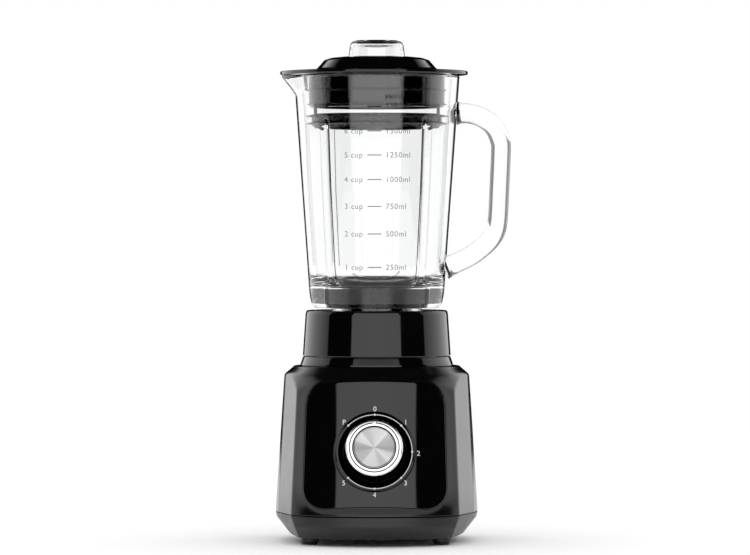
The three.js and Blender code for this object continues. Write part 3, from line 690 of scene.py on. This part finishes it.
def make_tray():
    rows = edge_rows(TRAY_BOTTOM, 1.2, False)
    rows += [(z, 0) for z in np.linspace(TRAY_BOTTOM + 1.4, SEAM_Z - 0.9, 26)]
    rows += edge_rows(SEAM_Z, 0.6, True)
    rings = [base_ring(z, inset) for z, inset in rows]
    rings += [base_ring(z, TRAY_WALL) for z in (SEAM_Z, KNEE_Z, TRAY_BOTTOM + TRAY_FLOOR)]
    rings.append(circle_ring(TRAY_BOTTOM + TRAY_FLOOR, 6, TRAY_BOTTOM))
    rings.append(circle_ring(TRAY_BOTTOM, 6, TRAY_BOTTOM))
    shell = to_mesh("bottom_tray", *skin(rings, closed=True))
    plug = round_mesh(8, TRAY_BOTTOM, TRAY_BOTTOM + TRAY_FLOOR)
    shell = boolean(shell, [plug], "UNION")
    posts = [round_mesh(5.2, TRAY_BOTTOM + 1, SEAM_Z, x, y)
             for x in (-SCREW_X, SCREW_X) for y in (-SCREW_Y, SCREW_Y)]
    shell = boolean(shell, posts, "UNION")
    cutters = [box_mesh((x - 2.5, -31, 0), (x + 2.5, 15, 10)) for x in (-24, -12, 0, 12, 24)]
    for x in (-1, 1):
        for y in (-SCREW_Y, SCREW_Y):
            cutters.append(round_mesh(4, 0, 12, x * SCREW_X, y))
            cutters.append(round_mesh(2, 5, 30, x * SCREW_X, y))
        for y in (FOOT_FRONT, FOOT_BACK):
            cutters.append(round_mesh(3.3, 0, 30, x * FOOT_X, y))
    made = boolean(shell, cutters)
    finish_shading(made)
    place("bottom_tray_shell", made, SATIN_BLACK, "base", ["bottom_tray"])


def make_feet():
    profile = rounded([
        (0, 0.5), (5.2, 0.5, 0.3), (5.6, 0, 0.3), (6.6, 0, 0.6), (6.9, 2, 0.3), (7.9, 2.2, 0.5),
        (7.9, 5.9, 0.3), (3.1, 5.9), (3.1, 11.6, 0.8), (0, 11.6),
    ])
    for side, x in (("left", -FOOT_X), ("right", FOOT_X)):
        for end, y in (("front", FOOT_FRONT), ("rear", FOOT_BACK)):
            vertices, faces = turned(profile, 64)
            mesh = to_mesh("foot", vertices + np.array([x, y, 0]), faces)
            place(f"rubber_foot_{end}_{side}", mesh, RUBBER, "base", [f"foot_{end}_{side}"])


def make_seat():
    profile = loop_back([
        (8.5, 146.5), (54, 146.5), (54, 151.8), (64.6, 151.8, 0.3), (64.3, 153.4, 0.8), (62.6, 158.2, 1.2),
        (62.2, 159.3, 0.5), (51.6, 159.3, 0.4), (51.6, 149, 1), (11, 149, 0.6), (11, 152.6, 0.5),
        (8.5, 152.6, 0.5),
    ])
    mesh = to_mesh("jug_seat", *turned(profile, 160))
    made = boolean(mesh, [round_mesh(2.2, 140, 155, 0, 49.3)])
    finish_shading(made)
    place("jug_seat_ring", made, GLOSS_BLACK, "base", ["jug_seat"], DECK_FRAME)


# ------------------------------------------------------------------ speed control
def make_bezel():
    profile = loop_back([
        (5, -11), (30, -11), (33.5, -9), (33.4, 0, 0.3), (31.9, 1.3, 0.5), (30.3, 1.4, 0.4), (29.6, 0.4, 0.4),
        (28.6, -3.4, 0.8), (27.7, -4.2, 0.3), (26.9, -8, 0.8), (5, -8.4),
    ])
    mesh = to_mesh("dial_bezel", *turned(profile, 160), sharp=50)
    place("dial_bezel_ring", mesh, GLOSS_BLACK, "base", ["dial_bezel"], DIAL_FRAME)


def make_knob():
    body = rounded([
        (0, 12.8), (0.01, 12.8), (3.4, 12.8), (3.4, -7), (6.6, -7), (6.6, 14), (20, 14), (22, -4),
        (25.4, -4, 0.6), (25.4, -2.2, 1.2), (23.5, 3, 4), (22.9, 17.4, 0.4), (17.6, 17.4),
        (17.6, 18.4), (0, 18.4),
    ])
    mesh = to_mesh("knob_body", *turned(body, 128))
    place("knob_skirt", mesh, GLOSS_BLACK, "knob", ["knob_body"], DIAL_FRAME)

    ring = loop_back([
        (17.9, 17.6), (23.1, 17.6, 0.3), (23.7, 18.6, 0.8), (23.5, 20.2, 0.9), (22.5, 21.1, 0.8),
        (20.9, 21.4, 0.2), (20.8, 20.5), (20.1, 20.5), (20, 21.4, 0.2), (18.2, 21.4, 0.3), (17.9, 20.2),
    ])
    mesh = to_mesh("knob_ring", *turned(ring, 160))
    place("knob_bright_ring", in_base_frame(mesh), CHROME, "knob", ["knob_ring"])

    inlay = loop_back([(20.15, 20.55), (20.75, 20.55), (20.75, 21.25, 0.1), (20.15, 21.25, 0.1)])
    groove = boolean(to_mesh("knob_groove", *turned(inlay, 160)), [box_mesh((-1.5, 15, 20), (1.5, 25, 22))])
    marks = [box_mesh((low, 20.76, 20.9), (low + 0.5, 22.7, 21.44)) for low in (-2.0, 1.5)]
    groove = boolean(groove, marks, "UNION")
    finish_shading(groove)
    place("knob_groove_inlay", groove, SATIN_BLACK, "knob", at=DIAL_FRAME)

    pointer = box_mesh((-1.4, 20.12, 20.55), (1.4, 20.78, 21.4))
    place("knob_pointer", bevelled(pointer, 0.08), CHROME, "knob", at=DIAL_FRAME)

    disc = rounded([
        (0, 18.7), (17.4, 18.7), (17.4, 21.0, 0.3), (16.8, 21.2, 0.2), (16.5, 20.9, 0.1), (16.2, 20.7, 0.1),
        (0, 20.7),
    ])
    mesh = to_mesh("knob_disc", *turned(disc, 160))
    place("knob_spun_disc", mesh, SPUN, "knob", ["knob_disc"], DIAL_FRAME)


def bevelled(mesh, width):
    made = bmesh.new()
    made.from_mesh(mesh)
    bmesh.ops.bevel(made, geom=made.edges[:], offset=width * MM, segments=3, affect="EDGES", profile=0.5)
    made.to_mesh(mesh)
    made.free()
    finish_shading(mesh)
    return mesh


# ------------------------------------------------------------------ print
DIGIT_HEIGHT = 0.7  # of the font's size
LETTER_SPACING = 1.12
PRINT_THICKNESS = 0.06


def text_outline(words, height, align="CENTER"):
    """Vertices (in millimetres) and faces of flat text whose digits are height tall."""
    curve = bpy.data.curves.new("text", "FONT")
    curve.body, curve.size, curve.space_character = words, height / DIGIT_HEIGHT * MM, LETTER_SPACING
    curve.align_x = align
    curve.extrude = PRINT_THICKNESS / 2 * MM
    curve.resolution_u = 4
    holder = add_object("text", curve)
    mesh = evaluated(holder)
    bpy.data.objects.remove(holder)
    bpy.data.curves.remove(curve)
    vertices = np.array([v.co[:] for v in mesh.vertices]) / MM
    faces = [tuple(p.vertices) for p in mesh.polygons]
    bpy.data.meshes.remove(mesh)
    return vertices, faces


def merged(parts):
    """Several (vertices, faces) as one."""
    vertices, faces, start = [], [], 0
    for some_vertices, some_faces in parts:
        vertices.append(some_vertices)
        faces += [tuple(i + start for i in face) for face in some_faces]
        start += len(some_vertices)
    return np.concatenate(vertices), faces


def bar(u0, u1, v0, v1):
    """A thin printed bar, cut along its length so that it can be wrapped."""
    section = np.array([(0, v0, 0), (0, v1, 0), (0, v1, PRINT_THICKNESS), (0, v0, PRINT_THICKNESS)])
    return skin([section + (u, 0, 0) for u in np.linspace(u0, u1, 13)])


ARC_R, ARC_HALF_WIDTH, DOT_R = 31.0, 0.26, 0.85
NUMERAL_R, NUMERAL_HEIGHT = 36.1, 4.1
MARKS = ("P", "0", "1", "2", "3", "4", "5")
MARK_STEP = 45  # degrees clockwise from each mark to the next, the second of them at the top


def mark_at(i, r):
    """Where mark i's middle is on a circle round the dial."""
    turn = math.radians(MARK_STEP * (i - 1))
    return np.array([r * math.sin(turn), r * math.cos(turn), 0])


def make_dial_print():
    parts = []
    turn = np.radians(np.linspace(-MARK_STEP, MARK_STEP * (len(MARKS) - 2), 181))
    inner, outer = ARC_R - ARC_HALF_WIDTH, ARC_R + ARC_HALF_WIDTH
    section = [(inner, 1.2), (outer, 1.2), (outer, 1.42), (inner, 1.45)]
    parts.append(skin([np.array([(r * math.sin(a), r * math.cos(a), w) for r, w in section]) for a in turn]))
    for i in range(len(MARKS)):
        vertices, faces = turned([(0, 1), (DOT_R, 1), (DOT_R, 1.5), (0, 1.5)], 24)
        parts.append((vertices + mark_at(i, ARC_R), faces))
    mesh = to_mesh("dial_scale", *merged(parts))
    place("dial_scale_print", mesh, DIAL_INK, "base", at=DIAL_FRAME)

    numerals = []
    for i, words in enumerate(MARKS):
        vertices, faces = text_outline(words, NUMERAL_HEIGHT)
        vertices[:, 1] -= NUMERAL_HEIGHT / 2
        vertices += mark_at(i, NUMERAL_R)
        vertices[:, 2] += PANEL_RAISE - bow(vertices[:, 0])
        numerals.append((vertices, faces))
    mesh = to_mesh("dial_numerals", *merged(numerals))
    place("dial_numeral_print", mesh, DIAL_INK, "base", at=DIAL_FRAME)


# ------------------------------------------------------------------ jug collar
def make_collar():
    profile = loop_back([
        (62.2, 159.7, 0.4), (62.5, 160.6, 0.5), (60.2, 195.2, 1.5), (59.4, 198.3, 2.2), (39.2, 198.3, 0.6),
        (39.2, 180), (14.8, 180), (14.8, 176.6), (42.2, 176.6), (42.2, 194.4), (56.6, 194.4), (59.4, 163),
        (47.6, 163), (47.6, 151.5, 0.4), (51.1, 151.5, 0.4), (51.1, 159.7),
    ])
    mesh = to_mesh("jug_collar", *turned(profile, 160))
    place("jug_collar_shell", mesh, GLOSS_BLACK, "collar", ["jug_collar"], DECK_FRAME)
    carrier = loop_back([
        (7.4, 180.3), (37, 180.3), (37, 183.5), (29.8, 183.5), (29.8, 217.6, 0.8), (28.4, 218.7, 0.5),
        (26.6, 217.4, 1), (25.4, 209, 2), (21, 206.4, 1), (10.5, 206.4, 0.6), (10, 209.6, 0.4), (7.4, 209.6),
    ])
    mesh = to_mesh("blade_carrier", *turned(carrier, 96))
    place("blade_carrier_cup", mesh, GLOSS_BLACK, "collar", ["blade_carrier"], DECK_FRAME)


# ------------------------------------------------------------------ glass jug
JUG_FOOT_Z, JUG_RIM_Z = 200.4, 396.5
WALL_LOW_R, WALL_LOW_Z = 57, 213.6  # where the straight wall starts
WALL_SPREAD = 13  # how much wider its rim is
NECK_R, NECK_HOLE_R, NECK_Z = 38, 30.4, 186.1  # the neck that stands in the collar
GLASS, RIM_GLASS = 4.5, 6.0  # the wall, and its thicker part round the lid
SPOUT_Z, SPOUT_REACH, SPOUT_HALF = 380.0, 11.2, math.radians(30)
RIB_TURNS = [math.radians(a) for a in (47.5, 132.5, 227.5, 312.5)]
RIB_HALF_WIDTH, RIB_HEIGHT = 5.0, 3.2
RIB_FOOT_Z, RIB_FULL_Z, RIB_TOP_Z, RIB_END = 213, 224, 349, 8


def wall_r(z):
    """The jug's outer radius at height z."""
    return WALL_LOW_R + WALL_SPREAD * (np.asarray(z, float) - WALL_LOW_Z) / (JUG_RIM_Z - WALL_LOW_Z)


def smooth(low, high, value):
    t = np.clip((value - low) / (high - low), 0, 1)
    return t * t * (3 - 2 * t)


def pulled_spout(vertices, amount, low, high, half, outside=0.0):
    """Draws a rim out towards -X into a spout, more the higher it is."""
    r = np.hypot(vertices[:, 0], vertices[:, 1])
    off = np.abs(np.arctan2(vertices[:, 1], -vertices[:, 0]))
    width = np.clip(1 - off / half, 0, 1) ** 1.15
    rise = np.clip((vertices[:, 2] - low) / (high - low), 0, 1) ** 1.1
    stretch = np.where(r > outside, 1 + amount * width * rise / np.maximum(r, 1), 1)
    return vertices * np.stack([stretch, stretch, np.ones_like(stretch)], axis=1)


def rib_height(angle, z, r):
    """How far the four moulded ribs stand in from the jug's inner wall."""
    height = np.zeros_like(angle)
    for turn in RIB_TURNS:
        off = (angle - turn + math.pi) % (2 * math.pi) - math.pi
        across = np.clip(np.abs(off * r) / RIB_HALF_WIDTH, 0, 1)
        height = np.maximum(height, RIB_HEIGHT * np.cos(across * math.pi / 2) ** 2)
    round_top = np.sqrt(np.clip(1 - np.clip((z - RIB_TOP_Z) / RIB_END, 0, 1) ** 2, 0, 1))
    return height * (smooth(RIB_FOOT_Z, RIB_FULL_Z, z) * round_top)


def jug_bowl():
    outer = rounded([
        (NECK_R, NECK_Z, 0.5), (NECK_R, 202.2, 0.6), (48.4, 202.2, 0.5), (49.4, JUG_FOOT_Z, 0.6),
        (52.2, JUG_FOOT_Z, 1.6), (55.0, 204.0, 3), (56.2, 208.5, 3), (WALL_LOW_R, WALL_LOW_Z),
        (wall_r(300), 300), (wall_r(SPOUT_Z), SPOUT_Z), (69.9, 395, 0.8), (69.3, JUG_RIM_Z, 1.0),
    ])
    inner = rounded([
        (wall_r(396) - 5, JUG_RIM_Z, 1.0), (wall_r(394) - RIM_GLASS, 394.6, 2),
        (wall_r(390) - RIM_GLASS, 390), (wall_r(352) - RIM_GLASS, 352, 30), (wall_r(300) - GLASS, 300, 30),
        (wall_r(236) - GLASS, 236, 10),
        (52.6, 226.5, 8), (48, 221, 8), (40, 218.9, 8), (31.2, 218.6, 0.5), (NECK_HOLE_R, 218, 0.5),
        (NECK_HOLE_R, NECK_Z, 0.5),
    ])
    middle = ((NECK_R + NECK_HOLE_R) / 2, NECK_Z)
    outer_rows = subdivided([middle, *outer], 4.5)
    inner_rows = subdivided([*inner, middle], 3.6)
    segments = 288
    vertices, faces = turned([*outer_rows, *inner_rows[:-1]], segments)
    count = len(outer_rows) * segments
    wall = vertices[count:]
    r = np.hypot(wall[:, 0], wall[:, 1])
    angle = np.arctan2(wall[:, 1], wall[:, 0])
    inward = rib_height(angle, wall[:, 2], r) * (r > 40)
    scale = (r - inward) / r
    wall[:, 0] *= scale
    wall[:, 1] *= scale
    vertices = pulled_spout(vertices, SPOUT_REACH, SPOUT_Z, JUG_RIM_Z, SPOUT_HALF)
    return to_mesh("jug_bowl", vertices, faces, sharp=50)


HANDLE = [(62, 364.5), (78, 364.8), (91, 360.5), (100, 352.5), (104.6, 341), (105.2, 336), (103.4, 296),
          (102.4, 272), (99.6, 262), (93.4, 254.4), (80, 244), (66, 237.5), (56, 233.5)]
HANDLE_OVERLAP = 1.6  # how far the handle's ends reach into the wall
HANDLE_HALF_DEPTH, HANDLE_HALF_WIDTH = 8.3, 10


def handle_path():
    """Points and directions along the handle's centre line, in XZ."""
    points = np.array(HANDLE, float)
    for _ in range(3):
        a, b = points[:-1], points[1:]
        inner = np.stack([0.75 * a + 0.25 * b, 0.25 * a + 0.75 * b], axis=1).reshape(-1, 2)
        points = np.concatenate([points[:1], inner, points[-1:]])
    ways = np.gradient(points, axis=0)
    return points, ways / np.linalg.norm(ways, axis=1)[:, None]


def jug_handle():
    """The handle bar, flared where it meets the wall."""
    path, ways = handle_path()
    out = path[:, 0] - wall_r(path[:, 1])
    keep = out > -HANDLE_OVERLAP
    turn = np.arange(40) / 40 * 2 * math.pi
    rings = []
    for (x, z), (dx, dz) in zip(path[keep], ways[keep]):
        flare = 1 + 0.22 * math.exp(-max(0, x - float(wall_r(z))) / 3.0)
        a, b = HANDLE_HALF_DEPTH * flare * np.cos(turn), HANDLE_HALF_WIDTH * flare * np.sin(turn)
        rings.append(np.stack([x - dz * a, b, z + dx * a], axis=1))
    return to_mesh("jug_handle", *skin(rings), sharp=50)


def make_jug():
    made = boolean(jug_bowl(), [jug_handle()], "UNION")
    finish_shading(made, 50)
    place("glass_jug_body", made, JUG_GLASS, "jug", ["glass_jug"], DECK_FRAME)

    # Guessed, and not in the CAD: a thin black seal that also stands in for shade, keeping the blade carrier
    # dark behind the glass.
    sleeve = loop_back([(29.98, 203, 0.1), (30.44, 203, 0.1), (30.44, 217.4, 0.1), (29.98, 217.4, 0.1)])
    mesh = to_mesh("jug_seal_and_shade_sleeve", *turned(sleeve, 128))
    place("jug_seal_and_shade_sleeve", mesh, SILICONE, "jug", at=DECK_FRAME)


SCALE_MARKS = [(234.8, "1 cup", "250ml"), (262.7, "2 cup", "500ml"), (285.6, "3 cup", "750ml"),
               (308.0, "4 cup", "1000ml"), (328.4, "5 cup", "1250ml"), (348.4, "6 cup", "1500ml"),
               (368.7, "", "1750ml"), (376.6, "", "MAX")]
SCALE_TEXT_HEIGHT, SCALE_TEXT_DROP = 4.6, 2.1


def wrapped(part, z):
    """Lays flat print round the front of the jug, its middle line at height z."""
    vertices, faces = part
    height = z + vertices[:, 1]
    r = wall_r(height) + 0.02 + vertices[:, 2]
    angle = -math.pi / 2 + vertices[:, 0] / wall_r(z)
    return np.stack([r * np.cos(angle), r * np.sin(angle), height], axis=1), faces


def make_scale_print():
    parts = []
    for z, cups, volume in SCALE_MARKS:
        for words, u, align in ((cups, -10.5, "RIGHT"), (volume, 8.5, "LEFT")):
            if words:
                vertices, faces = text_outline(words, SCALE_TEXT_HEIGHT, align)
                shift = np.array([u, -SCALE_TEXT_DROP, PRINT_THICKNESS / 2])
                parts.append(wrapped((vertices + shift, faces), z))
        if volume != "MAX":
            parts.append(wrapped(bar(-6.6, 5.0, -0.45, 0.45), z))
    mesh = to_mesh("volume_scale", *merged(parts), sharp=30)
    place("volume_scale_print", mesh, SCALE_INK, "jug", at=DECK_FRAME)


# ------------------------------------------------------------------ lid and cap
def make_lid():
    cover = loop_back([
        (24.8, 386, 0.3), (27.4, 386, 0.3), (27.4, 408.6, 1), (33.6, 408.6), (39, 408, 2), (42.6, 405.4, 2),
        (49.0, 399.4, 1.5), (53, 398.4, 1), (60.5, 398), (60.5, 396.9), (75.4, 396.9, 1.3),
        (76.9, 397.2, 1.3), (76.9, 399.9, 1.3), (75, 400.2, 0.6), (52.6, 401.4, 2.2),
        (50.4, 402.4, 1.6), (44.2, 409.4, 4), (38.8, 411.2, 6), (30, 412.1, 3), (24.8, 412.0, 0.6),
    ])
    vertices, faces = turned(cover, 192)
    vertices = pulled_spout(vertices, 4.8, 395.5, 396.9, math.radians(34), 62)
    mesh = to_mesh("lid_cover", vertices, faces)
    place("lid_cover_shell", mesh, GLOSS_BLACK, "lid", ["lid_cover"], DECK_FRAME)

    sleeve = loop_back([
        (50.8, 353, 0.3), (53.3, 353, 0.3), (53.3, 369.3, 0.2), (55.6, 369.6, 1.2), (57.3, 371.2, 0.8),
        (59.2, 371.5, 0.25), (59.2, 372.1, 0.25), (57.4, 372.5, 0.4), (57.4, 383.2, 0.4), (59.2, 383.5, 0.25),
        (59.2, 384.1, 0.25), (57.4, 384.5, 0.4), (57.4, 397.7), (54.9, 397.7), (54.9, 373.5, 0.4),
        (50.8, 369, 0.4),
    ])
    mesh = to_mesh("lid_plug", *turned(sleeve, 192))
    windows = [box_mesh((-70, low, 364), (70, high, 369.1)) for low, high in ((-70, -2), (2, 70))]
    made = boolean(mesh, windows)
    finish_shading(made)
    place("lid_plug_sleeve", made, GLOSS_BLACK, "lid", ["lid_plug"], DECK_FRAME)

    seal = loop_back([
        (53.6, 354, 0.3), (54.9, 354, 0.3), (55.1, 354.9, 0.4), (60.7, 355.2, 0.25), (60.7, 355.8, 0.25),
        (55.4, 356.8, 0.8), (54.9, 357.8, 0.4), (54.9, 360.4, 0.4), (55.1, 361.3, 0.4), (60.7, 361.6, 0.25),
        (60.7, 362.2, 0.25), (55.4, 363.2, 0.8), (53.6, 363.6, 0.4),
    ])
    mesh = to_mesh("lid_seal", *turned(seal, 160))
    place("lid_seal_ring", mesh, SILICONE, "lid", ["lid_seal"], DECK_FRAME)


def make_cap():
    profile = rounded([
        (0, 421.6), (10, 422.0, 8), (17.6, 423.6, 1.5), (19.8, 422.4, 1), (21.0, 417, 4), (21.8, 404, 6),
        (22, 387, 0.7), (24.2, 387, 0.7), (24.2, 406, 4), (23.6, 414, 6), (22.7, 421.6, 4),
        (21.2, 424.6, 2.5), (17.6, 426.0, 4), (0, 426.6),
    ])
    mesh = to_mesh("measuring_cap", *turned(profile, 128), sharp=60)
    place("measuring_cap_cup", mesh, CAP_PLASTIC, "cap", ["measuring_cap"], DECK_FRAME)


# ------------------------------------------------------------------ studio
CAMERA_AZIMUTH = math.radians(1.1)
CAMERA_DISTANCE = 3.95
CAMERA_HEIGHT = 0.2672
AIM_HEIGHT = 0.2220
AIM_ACROSS = -0.0015
VIEW_WIDTH = 0.634  # metres across the picture at the drive axis
SENSOR_WIDTH = 36
FLOOR_HALF = 2.0  # small, because the leaning walls mirror it


def make_camera():
    data = bpy.data.cameras.new("camera")
    data.sensor_width = SENSOR_WIDTH
    data.lens = SENSOR_WIDTH * CAMERA_DISTANCE / VIEW_WIDTH
    data.clip_start, data.clip_end = 0.1, 60
    camera = add_object("camera", data)
    across = Vector((math.cos(CAMERA_AZIMUTH), math.sin(CAMERA_AZIMUTH), 0))
    aim = AXIS + across * AIM_ACROSS + Vector((0, 0, AIM_HEIGHT))
    back = Vector((math.sin(CAMERA_AZIMUTH), -math.cos(CAMERA_AZIMUTH), 0)) * CAMERA_DISTANCE
    camera.location = aim + back + Vector((0, 0, CAMERA_HEIGHT - AIM_HEIGHT))
    camera.rotation_mode = "QUATERNION"
    camera.rotation_quaternion = (aim - camera.location).to_track_quat("-Z", "Y")
    bpy.context.scene.camera = camera


def make_floor():
    n = Nodes("studio_floor")
    n.set(Base_Color=n.blend(n.noise(3, 3), (0.9, 0.9, 0.9), (0.93, 0.93, 0.93)), Roughness=0.8,
          Specular_IOR_Level=0.1)
    mesh = bpy.data.meshes.new("floor")
    corners = [(x * FLOOR_HALF, y * FLOOR_HALF, 0) for x, y in ((-1, -1), (1, -1), (1, 1), (-1, 1))]
    mesh.from_pydata(corners, [], [(0, 1, 2, 3)])
    mesh.materials.append(n.material)
    floor = add_object("floor", mesh)


# Brightness against the angle from the product's front (-Y) round to its back, in degrees: what polished
# surfaces mirror, what is mirrored inside or behind the glass, and what is seen straight through it.
STUDIO = [(0, 1.7), (38.6, 1.6), (40, 0.0), (81.6, 0.0), (83, 0.8), (101, 1.35), (128, 1.75), (152, 1.7),
          (156, 0.4), (158, 0.0), (180, 0.0)]
INSIDE = [(0, 1.7), (38.6, 1.6), (40, 0.0), (81.6, 0.0), (83, 0.8), (101, 1.0), (160, 1.0), (164, 0.05),
          (180, 0.05)]
BACKLIGHT = [(0, 1.0), (96, 1.0), (100, 0.14), (153, 0.14), (156, 1.0), (180, 1.0)]
RAMP_TOP = 2.0  # a ramp holds at most 1, so brightness is kept as a share of this
FADE_LOW, FADE_HIGH = 0.5, 0.72  # the patterns fade out between these sines of the elevation


def make_world():
    """Fixed in direction, but different by kind of ray: soft boxes and black flags for mirrored rays,
    patterns of their own for rays inside and through glass, plain white for the camera and matt surfaces."""
    world = bpy.data.worlds.new("studio")
    bpy.context.scene.world = world
    world.use_nodes = True
    world.cycles.sampling_method = "NONE"
    n = Tree(world.node_tree)
    n.tree.nodes.clear()

    way = n.add("ShaderNodeSeparateXYZ", Vector=n.add("ShaderNodeTexCoord").outputs["Generated"]).outputs
    azimuth = n.maths("ARCTAN2", way["X"], n.maths("MULTIPLY", way["Y"], -1.0))
    turn = n.maths("DIVIDE", n.maths("ABSOLUTE", azimuth), math.pi)
    gain = n.maths("MULTIPLY", n.ramp(way["Z"], FADE_LOW, FADE_HIGH, 1.0, 0.0), RAMP_TOP)
    polished, inside, through = (n.maths("MULTIPLY", n.grey_ramp(stops, turn, 180, RAMP_TOP), gain)
                                 for stops in (STUDIO, INSIDE, BACKLIGHT))
    rays = n.add("ShaderNodeLightPath").outputs

    def choose(test, when_true, otherwise):
        return n.add("ShaderNodeMix", Factor=test, A=otherwise, B=when_true).outputs["Result"]

    light = choose(rays["Is Glossy Ray"], polished, 1.0)
    mirrored = n.maths("GREATER_THAN", rays["Glossy Depth"], 0.5)
    light = choose(rays["Is Transmission Ray"], choose(mirrored, inside, through), light)
    light = choose(rays["Is Camera Ray"], 1.0, light)
    background = n.add("ShaderNodeBackground", Color=(1, 1, 1, 1), Strength=light)
    n.add("ShaderNodeOutputWorld", Surface=background.outputs[0])


def make_light():
    data = bpy.data.lights.new("overhead", "SUN")
    data.angle, data.energy = math.radians(120), 0.7
    light = add_object("overhead", data)
    light.location = (0, 0, 3)
    light.visible_glossy = light.visible_transmission = light.visible_camera = False


dress_cad_nodes()
make_camera()
make_floor()
make_world()
make_light()
bpy.context.scene.view_settings.view_transform = "Standard"

make_housing()
make_panel()
make_tray()
make_feet()
make_seat()
make_bezel()
make_knob()
make_dial_print()
make_collar()
make_jug()
make_scale_print()
make_lid()
make_cap()

bpy.context.view_layer.update()
